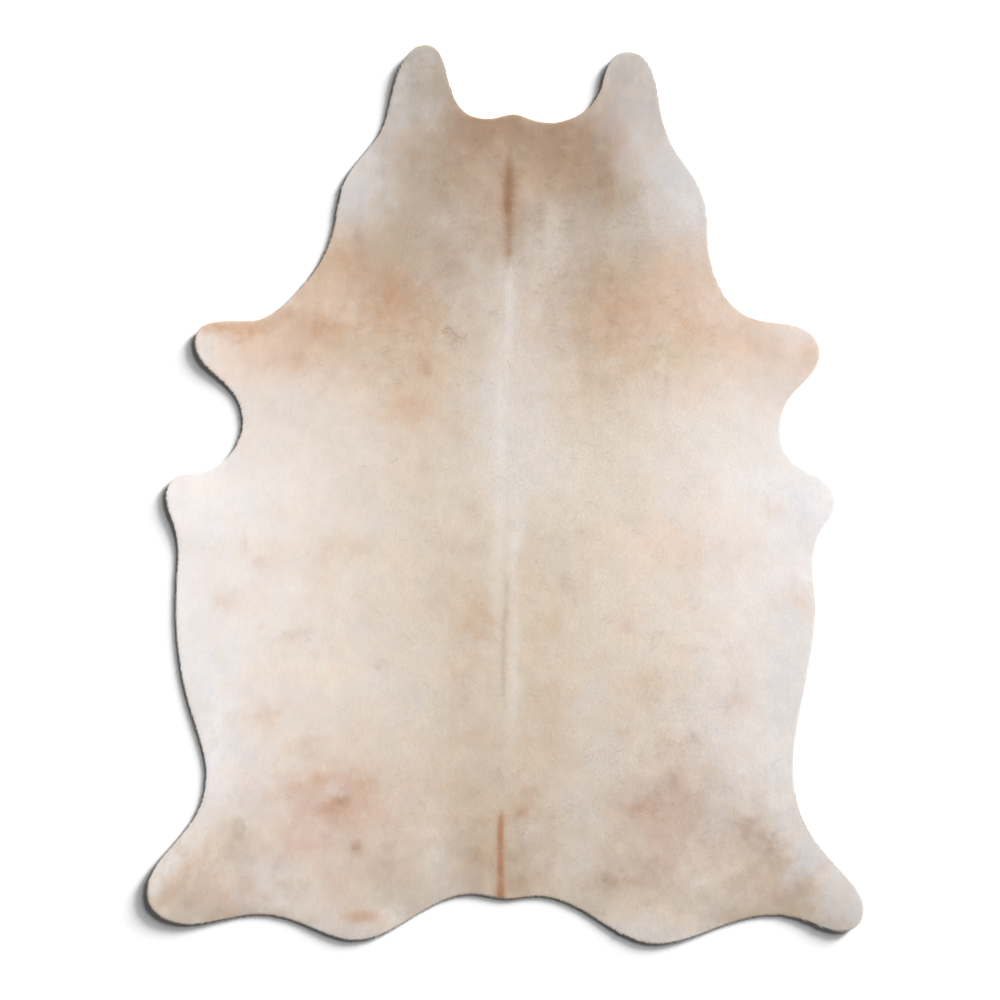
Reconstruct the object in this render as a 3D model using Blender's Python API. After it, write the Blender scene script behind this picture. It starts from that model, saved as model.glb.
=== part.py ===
"""A whole cattle hide, dressed with its hair on and laid flat: one sheet in the outline of the animal.

The hide lies hair side up. The head end points to +Y, +X is to the right as seen from above and
+Z is up. The underside rests on the ground at zero height, and the outline's bounding box is
centred on the origin. Everything below is in metres, apart from the tables, which are in millimetres.
"""
import math
from collections import namedtuple

import bmesh
import bpy
import numpy as np
from mathutils.geometry import delaunay_2d_cdt

MM = 0.001

# The outline, clockwise from the crown of the head, as smooth curves between turning points.
# x and y are the place, heading is the direction of travel in degrees from +X, and back and on are
# how far the curve keeps that direction before and after the point.
Turn = namedtuple("Turn", "name x y heading back on")
OUTLINE = (
    Turn("poll crown", x=20, y=931, heading=0, back=24, on=24),
    Turn("right poll hollow", x=111, y=910, heading=0, back=44, on=22),
    Turn("right ear root", x=231, y=990, heading=69, back=72, on=18),
    Turn("right ear tip", x=299, y=1083, heading=0, back=56, on=75),
    Turn("right ear base", x=388, y=907, heading=-73, back=63, on=123),
    Turn("right cheek", x=495, y=645, heading=-90, back=147, on=85),
    Turn("right fore leg top", x=652, y=423, heading=-4, back=128, on=46),
    Turn("right fore leg tip", x=769, y=348, heading=-90, back=62, on=72),
    Turn("right armpit", x=673, y=162, heading=-90, back=101, on=132),
    Turn("right elbow tip", x=808, y=-19, heading=-90, back=88, on=53),
    Turn("right belly hollow", x=753, y=-181, heading=-90, back=115, on=44),
    Turn("right belly bulge", x=760, y=-281, heading=-90, back=24, on=113),
    Turn("right stifle hollow", x=706, y=-673, heading=-90, back=126, on=208),
    Turn("right hind leg tip", x=877, y=-1016, heading=-90, back=96, on=20),
    Turn("right hind leg sole", x=819, y=-1069, heading=180, back=46, on=51),
    Turn("right hock hollow", x=655, y=-1030, heading=180, back=81, on=102),
    Turn("right rump tip", x=371, y=-1100, heading=180, back=87, on=105),
    Turn("right tail hollow", x=77, y=-984, heading=180, back=109, on=36),
    Turn("tail root", x=3, y=-991, heading=180, back=25, on=17),
    Turn("left tail hollow", x=-83, y=-979, heading=180, back=26, on=105),
    Turn("left rump tip", x=-369, y=-1091, heading=180, back=101, on=73),
    Turn("left hock hollow", x=-604, y=-1029, heading=180, back=98, on=54),
    Turn("left hind leg sole", x=-776, y=-1052, heading=180, back=59, on=22),
    Turn("left hind leg tip", x=-877, y=-972, heading=90, back=69, on=95),
    Turn("left stifle hollow", x=-734, y=-688, heading=90, back=142, on=105),
    Turn("left belly bulge", x=-808, y=-269, heading=90, back=248, on=58),
    Turn("left belly hollow", x=-803, y=-137, heading=90, back=34, on=62),
    Turn("left elbow tip", x=-831, y=-7, heading=90, back=36, on=54),
    Turn("left elbow top", x=-759, y=55, heading=2, back=29, on=55),
    Turn("left armpit", x=-645, y=178, heading=90, back=67, on=102),
    Turn("left fore leg tip", x=-760, y=373, heading=90, back=78, on=60),
    Turn("left fore leg top", x=-656, y=426, heading=0, back=26, on=42),
    Turn("left shoulder", x=-504, y=504, heading=47, back=119, on=64),
    Turn("left throat", x=-417, y=674, heading=81, back=72, on=58),
    Turn("left cheek", x=-396, y=765, heading=66, back=15, on=57),
    Turn("left ear base", x=-296, y=913, heading=73, back=54, on=54),
    Turn("left ear tip", x=-194, y=1100, heading=0, back=72, on=75),
    Turn("left poll hollow", x=-46, y=920, heading=0, back=123, on=31),
)

# Where the dried hide does not lie quite flat: the edge near the named turning point rises by
# rise, and the lift dies away over reach.
Curl = namedtuple("Curl", "turn rise reach")
CURLS = (
    Curl("left ear tip", rise=7.0, reach=210),
    Curl("right ear tip", rise=5.0, reach=190),
    Curl("right cheek", rise=2.0, reach=180),
    Curl("right fore leg tip", rise=6.0, reach=200),
    Curl("right elbow tip", rise=3.5, reach=150),
    Curl("right belly bulge", rise=1.5, reach=140),
    Curl("right hind leg tip", rise=6.5, reach=230),
    Curl("right rump tip", rise=3.0, reach=190),
    Curl("left rump tip", rise=2.5, reach=170),
    Curl("left hind leg tip", rise=7.5, reach=240),
    Curl("left elbow tip", rise=4.0, reach=170),
    Curl("left fore leg tip", rise=5.0, reach=180),
    Curl("left cheek", rise=1.5, reach=150),
)

# Where hide and hair are thicker than at the belly: by gain, over a soft oval across wide and
# along long, centred on x and y. A negative gain is a shallow trough.
Swell = namedtuple("Swell", "name x y across along gain")
SWELLS = (
    Swell("poll", x=60, y=810, across=230, along=150, gain=1.2),
    Swell("neck", x=10, y=520, across=300, along=190, gain=0.8),
    Swell("left shoulder", x=-330, y=330, across=210, along=150, gain=0.5),
    Swell("right shoulder", x=360, y=320, across=230, along=150, gain=0.5),
    Swell("back", x=0, y=-120, across=260, along=560, gain=0.7),
    Swell("spine line", x=-4, y=-60, across=26, along=640, gain=-0.5),
    Swell("left rump", x=-330, y=-720, across=230, along=210, gain=0.6),
    Swell("right rump", x=340, y=-700, across=250, along=230, gain=0.6),
    Swell("tail head", x=0, y=-900, across=90, along=130, gain=0.9),
)

# Thickness of the sheet: the cut leather at the edge, the hair just inside the edge, and
# leather and hair together at the brow and on the belly.
CUT_EDGE = 2.2 * MM
EDGE_HAIR = 3.3 * MM
BELLY = 4.4 * MM

# How far inside the outline the hair reaches those heights.
EDGE_HAIR_INSET = 5 * MM
BROW_INSET = 18 * MM

# Fineness of the mesh: rim spacing, turn of the rim at each point, spacing of the inner points,
# and the least gap between those and the brow.
RIM_SPACING = 30 * MM
RIM_TURN = math.radians(14)
INNER_SPACING = 52 * MM
INNER_GAP = 0.62 * INNER_SPACING
CURVE_SAMPLES = 64
WELD = 0.00001
HARD_EDGE = math.radians(50)

# Cream hair with a soft satin sheen, in linear light.
HAIR_COLOUR = (0.745, 0.652, 0.571)
HAIR_ROUGHNESS = 0.72


def clear_scene():
    """Remove every object that is there at the start."""
    for old in list(bpy.data.objects):
        bpy.data.objects.remove(old, do_unlink=True)


def direction(degrees):
    """Unit vector for a heading."""
    angle = math.radians(degrees)
    return np.array((math.cos(angle), math.sin(angle)))


def curve_between(first, second, count):
    """The points of the smooth curve between two turning points, without the last one."""
    start = np.array((first.x, first.y)) * MM
    end = np.array((second.x, second.y)) * MM
    leave = start + direction(first.heading) * first.on * MM
    arrive = end - direction(second.heading) * second.back * MM
    along = (np.arange(count) / count)[:, None]
    left = 1 - along
    return left**3 * start + 3 * left**2 * along * leave + 3 * left * along**2 * arrive + along**3 * end


def pieces_needed(first, second):
    """How many straight pieces follow a curve to the rim spacing and turn."""
    steps = np.diff(curve_between(first, second, CURVE_SAMPLES), axis=0)
    length = np.hypot(steps[:, 0], steps[:, 1]).sum()
    heading = np.unwrap(np.arctan2(steps[:, 1], steps[:, 0]))
    turn = np.abs(np.diff(heading)).sum()
    return max(2, math.ceil(length / RIM_SPACING), math.ceil(turn / RIM_TURN))


def outline_points():
    """The whole outline as an anticlockwise ring of points."""
    parts = []
    for first, second in zip(OUTLINE, OUTLINE[1:] + OUTLINE[:1]):
        parts.append(curve_between(first, second, pieces_needed(first, second)))
    return np.concatenate(parts)[::-1]


def inset_ring(ring, distance):
    """The ring moved inwards by a distance, square to its own line."""
    before = ring - np.roll(ring, 1, axis=0)
    after = np.roll(ring, -1, axis=0) - ring
    before = before / np.linalg.norm(before, axis=1)[:, None]
    after = after / np.linalg.norm(after, axis=1)[:, None]
    tangent = before + after
    tangent = tangent / np.linalg.norm(tangent, axis=1)[:, None]
    inward = np.stack((-tangent[:, 1], tangent[:, 0]), axis=1)
    return ring + inward * distance


def is_inside(points, ring):
    """True for each point that lies within the ring."""
    start = ring
    end = np.roll(ring, -1, axis=0)
    x = points[:, 0][:, None]
    y = points[:, 1][:, None]
    spans = (start[:, 1] > y) != (end[:, 1] > y)
    rise = np.where(spans, end[:, 1] - start[:, 1], 1.0)
    crossing = start[:, 0] + (y - start[:, 1]) * (end[:, 0] - start[:, 0]) / rise
    return (spans & (x < crossing)).sum(axis=1) % 2 == 1


def gap_to_ring(points, ring):
    """Distance from each point to the nearest straight piece of the ring."""
    start = ring[None, :, :]
    run = (np.roll(ring, -1, axis=0) - ring)[None, :, :]
    offset = points[:, None, :] - start
    share = np.clip((offset * run).sum(axis=2) / (run * run).sum(axis=2), 0, 1)
    return np.linalg.norm(offset - share[:, :, None] * run, axis=2).min(axis=1)


def inner_points(ring):
    """Evenly staggered points well inside the ring."""
    low = ring.min(axis=0)
    high = ring.max(axis=0)
    row_gap = INNER_SPACING * math.sqrt(3) / 2
    rows = []
    for number, y in enumerate(np.arange(low[1], high[1], row_gap)):
        shift = INNER_SPACING / 2 if number % 2 else 0
        x = np.arange(low[0] + shift, high[0], INNER_SPACING)
        rows.append(np.stack((x, np.full(len(x), y)), axis=1))
    grid = np.concatenate(rows)
    grid = grid[is_inside(grid, ring)]
    return grid[gap_to_ring(grid, ring) > INNER_GAP]


def lift(points):
    """Height of the underside above the ground: nought but for the curled tips."""
    places = {turn.name: turn for turn in OUTLINE}
    height = np.zeros(len(points))
    for curl in CURLS:
        turn = places[curl.turn]
        away = np.hypot(points[:, 0] - turn.x * MM, points[:, 1] - turn.y * MM) / (curl.reach * MM)
        height += curl.rise * MM * np.clip(1 - away**2, 0, None) ** 2
    return height


def thickness(points):
    """Thickness of leather and hair together, away from the edge."""
    total = np.full(len(points), BELLY)
    for swell in SWELLS:
        across = (points[:, 0] - swell.x * MM) / (swell.across * MM)
        along = (points[:, 1] - swell.y * MM) / (swell.along * MM)
        total += swell.gain * MM * np.exp(-(across**2) - along**2)
    return total


def inner_faces(ring, inner):
    """The triangles that fill the ring through the inner points, with the points in their order."""
    points = np.concatenate((ring, inner))
    edges = [(index, (index + 1) % len(ring)) for index in range(len(ring))]
    filled = delaunay_2d_cdt([tuple(point) for point in points], edges, [], 1, WELD)
    return np.array([tuple(point) for point in filled[0]]), filled[2]


def add_points(mesh, points, heights):
    """One mesh corner above each point."""
    return [mesh.verts.new((x, y, z)) for (x, y), z in zip(points, heights)]


def add_band(mesh, lower, upper):
    """The faces between two rings of corners, seen from outside."""
    for index in range(len(lower)):
        after = (index + 1) % len(lower)
        mesh.faces.new((lower[index], lower[after], upper[after], upper[index]))


def build_sheet():
    """The closed sheet: underside, cut edge, rising hair at the rim, and the hair side."""
    rim = outline_points()
    edge_hair = inset_ring(rim, EDGE_HAIR_INSET)
    brow = inset_ring(rim, BROW_INSET)
    field, triangles = inner_faces(brow, inner_points(brow))
    mesh = bmesh.new()
    rim_below = add_points(mesh, rim, lift(rim))
    rim_above = add_points(mesh, rim, lift(rim) + CUT_EDGE)
    hair = add_points(mesh, edge_hair, lift(edge_hair) + EDGE_HAIR)
    below = add_points(mesh, field, lift(field))
    above = add_points(mesh, field, lift(field) + thickness(field))
    ring_size = len(rim)
    add_band(mesh, below[:ring_size], rim_below)
    add_band(mesh, rim_below, rim_above)
    add_band(mesh, rim_above, hair)
    add_band(mesh, hair, above[:ring_size])
    for first, second, third in triangles:
        mesh.faces.new((above[first], above[second], above[third]))
        mesh.faces.new((below[third], below[second], below[first]))
    bmesh.ops.triangulate(mesh, faces=mesh.faces[:])
    bmesh.ops.recalc_face_normals(mesh, faces=mesh.faces[:])
    for edge in mesh.edges:
        edge.smooth = edge.calc_face_angle(0) < HARD_EDGE
    for face in mesh.faces:
        face.smooth = True
    data = bpy.data.meshes.new("hide")
    mesh.to_mesh(data)
    mesh.free()
    return data


def hair_material():
    """Cream cattle hair, satin rather than glossy."""
    material = bpy.data.materials.new("cowhide")
    material.use_nodes = True
    surface = material.node_tree.nodes["Principled BSDF"]
    surface.inputs["Base Color"].default_value = (*HAIR_COLOUR, 1.0)
    surface.inputs["Roughness"].default_value = HAIR_ROUGHNESS
    surface.inputs["Metallic"].default_value = 0.0
    return material


def main():
    """Build the hide and give it its material."""
    clear_scene()
    hide = bpy.data.objects.new("hide", build_sheet())
    hide.data.materials.append(hair_material())
    bpy.context.scene.collection.objects.link(hide)


main()
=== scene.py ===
"""The dressed hide: a whole cattle hide with its hair on, lying flat, seen from straight above.

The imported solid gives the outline, the curled tips and the thickness. Everything here is in the
same frame: the ears point to +Y, the underside rests at zero height. Lengths are in metres,
apart from the tables, which are in millimetres.
"""

import functools
import math
import zlib
from collections import namedtuple

import bmesh
import bpy
import numpy as np
from mathutils.geometry import delaunay_2d_cdt
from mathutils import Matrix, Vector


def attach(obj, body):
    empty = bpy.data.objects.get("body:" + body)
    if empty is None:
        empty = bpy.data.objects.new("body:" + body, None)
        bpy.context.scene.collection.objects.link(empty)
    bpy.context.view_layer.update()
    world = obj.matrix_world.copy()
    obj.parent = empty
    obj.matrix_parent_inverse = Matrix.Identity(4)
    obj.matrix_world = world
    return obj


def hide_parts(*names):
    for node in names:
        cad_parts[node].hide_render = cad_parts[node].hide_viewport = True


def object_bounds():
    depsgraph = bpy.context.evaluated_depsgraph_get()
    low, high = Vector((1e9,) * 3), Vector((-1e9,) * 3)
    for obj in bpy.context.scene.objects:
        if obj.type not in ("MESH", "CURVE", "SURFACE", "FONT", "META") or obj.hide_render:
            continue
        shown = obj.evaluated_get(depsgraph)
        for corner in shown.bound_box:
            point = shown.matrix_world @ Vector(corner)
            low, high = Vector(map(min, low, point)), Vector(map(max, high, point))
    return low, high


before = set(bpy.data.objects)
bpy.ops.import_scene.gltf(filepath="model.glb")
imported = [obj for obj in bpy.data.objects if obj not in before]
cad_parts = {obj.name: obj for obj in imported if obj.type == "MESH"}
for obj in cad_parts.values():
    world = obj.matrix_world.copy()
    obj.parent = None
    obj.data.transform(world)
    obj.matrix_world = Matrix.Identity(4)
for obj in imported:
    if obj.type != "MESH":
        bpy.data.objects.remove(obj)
CAD_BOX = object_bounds()

MM = 0.001

# Unevenness: side of the table that it repeats over, how many tables are kept at hand, how strong
# each finer octave is beside the one before, and how many starting numbers there are.
NOISE_SIDE = 256
NOISE_KEPT = 16
FINER = 0.62
NOISE_SEEDS = 100000

# The mesh of the dressed hide: spacing of the hair side, of the flesh side and of the rim.
HAIR_SPACING = 6.8 * MM
FLESH_SPACING = 17 * MM
RIM_SPACING = 6.8 * MM
WELD = 0.000001

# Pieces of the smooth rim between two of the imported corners, and how clear of the rim the points
# inside it stay, as a share of their spacing.
CURVE_STEPS = 8
RING_CLEAR = 0.6

# The section at the rim, from the ground up and inwards: how far inside the outline, and how high
# as a share of the thickness of the cut leather, or of leather and hair together.
LEATHER = 2.2 * MM
Ring = namedtuple("Ring", "inset height of")
EDGE_RINGS = (
    Ring(inset=1.6, height=0.5, of="leather"),
    Ring(inset=1.2, height=1.0, of="leather"),
    Ring(inset=0.4, height=0.72, of="all"),
    Ring(inset=1.0, height=0.93, of="all"),
    Ring(inset=3.0, height=0.99, of="all"),
    Ring(inset=8.0, height=1.0, of="all"),
)
FOOT_INSET = 1.2 * MM

# Steps of the grids of heights, tones and slopes, how far these reach past the hide, how far the
# packed heights are evened out, and how much thinner than the rest the hide is where it slopes down
# to the rim.
HEIGHT_STEP = 20 * MM
TONE_STEP = 2.5 * MM
SLOPE_STEP = 2 * MM
FIELD_MARGIN = 30 * MM
SMOOTHING = 30 * MM
RIM_SLOPE = 0.6 * MM

# Standing hair takes the light more evenly than the skin below it: how much of the hide's own
# long slopes shows in its shading.
LONG_SLOPES = 0.1

# The upright part of a packed face's direction: below the first it belongs to the flesh side, and
# nearer to nought than the second to the cut edge.
FLESH_SIDE_DOWN = -0.7
UPRIGHT = 0.5

# Colours of the hair, as a screen shows them.
BACK = (224, 209, 192)
BELLY = (243, 235, 229)
IVORY = (246, 243, 241)
PEARL = (228, 221, 214)
LILAC = (216, 210, 208)
STRAW = (210, 190, 165)
OLIVE = (190, 173, 152)
TAN = (202, 176, 150)
PEACH = (225, 196, 174)
ROSE = (214, 184, 168)
APRICOT = (203, 160, 126)
RUST = (176, 126, 92)
TAUPE = (174, 147, 123)
ASH = (184, 171, 157)
MAUVE = (184, 153, 141)
CREAM = (228, 218, 208)
MILK = (243, 235, 231)
FROST = (233, 227, 223)
FOG = (199, 190, 184)
BLUSH = (237, 212, 194)
CLAY = (197, 177, 161)
MIST = (230, 226, 225)
SNOW = (247, 242, 242)
HONEY = (252, 224, 203)
SHELL = (245, 228, 216)
UMBER = (152, 110, 84)
BARK = (160, 125, 97)
SAND = (196, 165, 142)

# From the back to the belly the hair pales, between these distances from the spine.
PALE_FROM = 60 * MM
PALE_TO = 720 * MM

# How light the coat is beside the colours above, in red, green and blue.
COAT_LIGHT = (0.963, 0.972, 0.978)

# Areas of other colour, in the order in which they lie over each other: centre, half width
# across and along, strength at the middle, how quickly it ends at its edge, turn in degrees
# anticlockwise, how ragged the edge is, how much the colour is broken up inside, and into what size.
# Most rows are the hair's own colour. Rows marked below as painted shade darken the lower rims, and rows
# marked as painted light lighten curled tips that the lamps leave in shade.
Patch = namedtuple("Patch", "name tone x y across along strength edge turn ragged broken grain",
                   defaults=(1.5, 0, 0.4, 0.4, None))
WASHES = (
    Patch("left flank", MILK, -800, -160, 110, 270, 0.9, edge=2),
    Patch("left flank low", MIST, -735, -600, 75, 210, 0.9),
    Patch("right flank", MILK, 760, -130, 120, 210, 0.75),
    Patch("right flank low", MIST, 715, -560, 85, 240, 0.9),
    Patch("left elbow", MILK, -770, 0, 110, 80, 0.8),
    Patch("right elbow", SNOW, 750, -20, 110, 90, 0.95),
    Patch("middle of the ribs", CREAM, 0, 170, 260, 150, 0.3),
    Patch("pale loin", CREAM, 20, -520, 120, 160, 0.3),
    Patch("between the blades", CREAM, -20, 230, 140, 230, 0.6),
    Patch("pale at the tail", PEARL, 40, -910, 26, 60, 0.5),
    Patch("right of the tail", PEARL, 215, -800, 70, 90, 0.6),
    Patch("cool ribs", PEARL, 50, 190, 85, 250, 0.55),
    Patch("rump", STRAW, 0, -900, 640, 230, 0.6, edge=1.2),
    Patch("left seat wash", CLAY, -400, -980, 110, 100, 0.3),
    Patch("left hind leg", CLAY, -690, -960, 170, 120, 0.95, edge=2),
    Patch("back", STRAW, 0, -470, 180, 280, 0.2),
    Patch("withers", TAN, 10, 430, 330, 130, 0.32, edge=1.4),
    Patch("pale left withers", CREAM, -30, 450, 30, 30, 0.2),
    Patch("right breast warmth", BLUSH, 430, 290, 240, 80, 0.5),
    Patch("left breast warmth", BLUSH, -600, 330, 250, 100, 0.5),
    Patch("neck", TAUPE, 10, 640, 280, 130, 0.66),
    Patch("poll", TAUPE, 40, 850, 220, 110, 1.0, edge=2.2),
    Patch("left temple band", TAUPE, -190, 800, 60, 90, 0.7),
    Patch("left bar", TAUPE, -130, 880, 80, 60, 0.7, edge=2),
    Patch("right bar", TAUPE, 165, 800, 80, 70, 0.85, edge=2),
    Patch("left neck", ASH, -215, 700, 85, 130, 0.7),
    Patch("right neck", ASH, 250, 680, 120, 100, 0.8),
    Patch("left ear", ASH, -210, 1020, 90, 110, 0.85, edge=2.5),
    Patch("left ear edge", FOG, -265, 940, 45, 80, 0.8, turn=-15),
    Patch("right ear", FOG, 320, 1000, 75, 120, 0.95, edge=2.5),
    Patch("left cheek", LILAC, -370, 765, 85, 105, 0.97, turn=-25, edge=3),
    Patch("right cheek", LILAC, 440, 740, 120, 140, 0.97, turn=15, edge=3),
)
MOTTLES = (
    Patch("left shoulder mottle", TAN, -300, 430, 190, 150, 0.4, edge=2, broken=1.0, grain=38),
    Patch("left shoulder warm mottle", APRICOT, -380, 440, 210, 120, 0.25, edge=2, broken=1.2, grain=30),
    Patch("right shoulder mottle", TAN, 330, 440, 220, 130, 0.35, edge=2, broken=1.0, grain=38),
    Patch("right shoulder warm mottle", APRICOT, 380, 420, 230, 110, 0.22, edge=2, broken=1.2, grain=28),
    Patch("left ribs mottle", TAN, -220, 250, 110, 110, 0.3, broken=1.0, grain=42),
    Patch("right ribs mottle", TAN, 250, 280, 120, 80, 0.3, broken=0.9, grain=42),
    Patch("neck mottle", TAUPE, 0, 640, 300, 150, 0.12, broken=1.2, grain=36),
    Patch("loin mottle", TAN, 0, -280, 220, 200, 0.2, broken=0.9, grain=45),
    Patch("left side mottle", PEACH, -450, -280, 260, 300, 0.16, broken=0.8, grain=70),
    Patch("right side mottle", PEACH, 450, -280, 260, 300, 0.16, broken=0.8, grain=70),
    Patch("left rump mottle", ROSE, -420, -790, 230, 150, 0.32, broken=0.9, grain=50),
    Patch("right rump mottle", TAUPE, 420, -820, 270, 170, 0.2, broken=0.8, grain=55),
    Patch("tail mottle", TAUPE, -10, -860, 190, 130, 0.1, broken=0.9, grain=45),
    Patch("left side band mottle", PEACH, -460, -140, 260, 26, 0.14, broken=0.8, grain=45),
    Patch("right side band mottle", PEACH, 450, -130, 150, 22, 0.15, broken=0.8, grain=45),
)
HEAD = (
    Patch("crown", TAN, -15, 895, 14, 35, 0.5),
    Patch("crown left", BARK, -35, 895, 30, 18, 0.5),
    Patch("left of the crown", UMBER, -90, 880, 60, 35, 0.15),
    Patch("right of the crown", UMBER, 150, 860, 90, 45, 0.16),
    Patch("left brow", ROSE, -80, 750, 55, 60, 0.3),
    Patch("right brow", APRICOT, 100, 765, 45, 30, 0.25),
    Patch("left temple", OLIVE, -240, 760, 35, 50, 0.5),
    Patch("left neck low", ASH, -280, 550, 75, 40, 0.4),
    Patch("right shoulder top", TAN, 392, 545, 42, 40, 0.5),
    Patch("right neck low", OLIVE, 330, 540, 48, 40, 0.55),
    Patch("right neck olive", OLIVE, 320, 600, 42, 45, 0.4),
    Patch("left neck grey", ASH, -142, 700, 35, 32, 0.5),
    Patch("left cheek edge", ASH, -300, 800, 32, 60, 0.4),
    Patch("left temple high", TAUPE, -235, 838, 40, 35, 0.4),
    Patch("right of the poll", TAUPE, 192, 905, 40, 24, 0.4),
    Patch("left of the poll", TAUPE, -78, 903, 35, 22, 0.45),
    Patch("right bar low", TAUPE, 190, 768, 48, 50, 0.55),
    Patch("left bar low", TAUPE, -140, 770, 45, 55, 0.5),
    Patch("left jaw", OLIVE, -275, 610, 60, 45, 0.6),
    Patch("left jaw grey", OLIVE, -290, 575, 60, 26, 0.4),
    Patch("left jaw line", UMBER, -358, 605, 14, 50, 0.3),
    Patch("right temple", OLIVE, 285, 735, 50, 35, 0.8),
    Patch("right bar end", BARK, 245, 760, 22, 60, 0.5),
    Patch("right temple shade", UMBER, 290, 725, 35, 20, 0.12),
    Patch("right ear root", MAUVE, 275, 890, 25, 60, 0.4, turn=20),
    Patch("left ear tip", FOG, -190, 1070, 40, 25, 0.5),
    Patch("left ear root", UMBER, -112, 925, 18, 30, 0.4),
    Patch("right cheek pale", FROST, 455, 705, 40, 55, 0.5),
    Patch("pale right of the neck", CREAM, 92, 612, 35, 40, 0.28),
    Patch("right bar heart", UMBER, 172, 792, 36, 50, 0.14),
    Patch("right ear inner", ASH, 256, 970, 22, 30, 0.25),
    Patch("right ear base", FOG, 352, 908, 42, 42, 0.75),
    Patch("poll rim", UMBER, 92, 897, 70, 14, 0.35),
    Patch("left poll rim", TAUPE, -105, 912, 28, 16, 0.4),
    Patch("crown rim", UMBER, -40, 914, 75, 9, 0.3),
    Patch("left ear inner", TAUPE, -142, 945, 20, 40, 0.35),
    Patch("left ear base", PEARL, -178, 935, 32, 38, 0.4),
    Patch("left ear side", FROST, -268, 1010, 28, 60, 0.45),
    Patch("pale left of the stripe", PEARL, -155, 670, 22, 20, 0.25),
    Patch("pale beside the stripe", PEARL, 55, 650, 14, 95, 0.15),
    Patch("pale right of the stripe", CREAM, 115, 640, 26, 75, 0.3),
    Patch("pale lower neck", CREAM, 70, 560, 60, 35, 0.3),
    Patch("lavender lower neck", LILAC, 280, 640, 50, 25, 0.2),
    Patch("right of the neck", ASH, 312, 645, 45, 30, 0.25),
    Patch("lavender right withers", LILAC, 192, 590, 50, 35, 0.22),
    Patch("left neck rim warmth", TAN, -400, 640, 35, 25, 0.25),
    Patch("left ear root warmth", TAUPE, -130, 950, 38, 50, 0.28),
    Patch("left ear inner rim", TAUPE, -152, 1035, 24, 50, 0.22),
    Patch("left ear back", ASH, -225, 965, 35, 50, 0.22),
)
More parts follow.
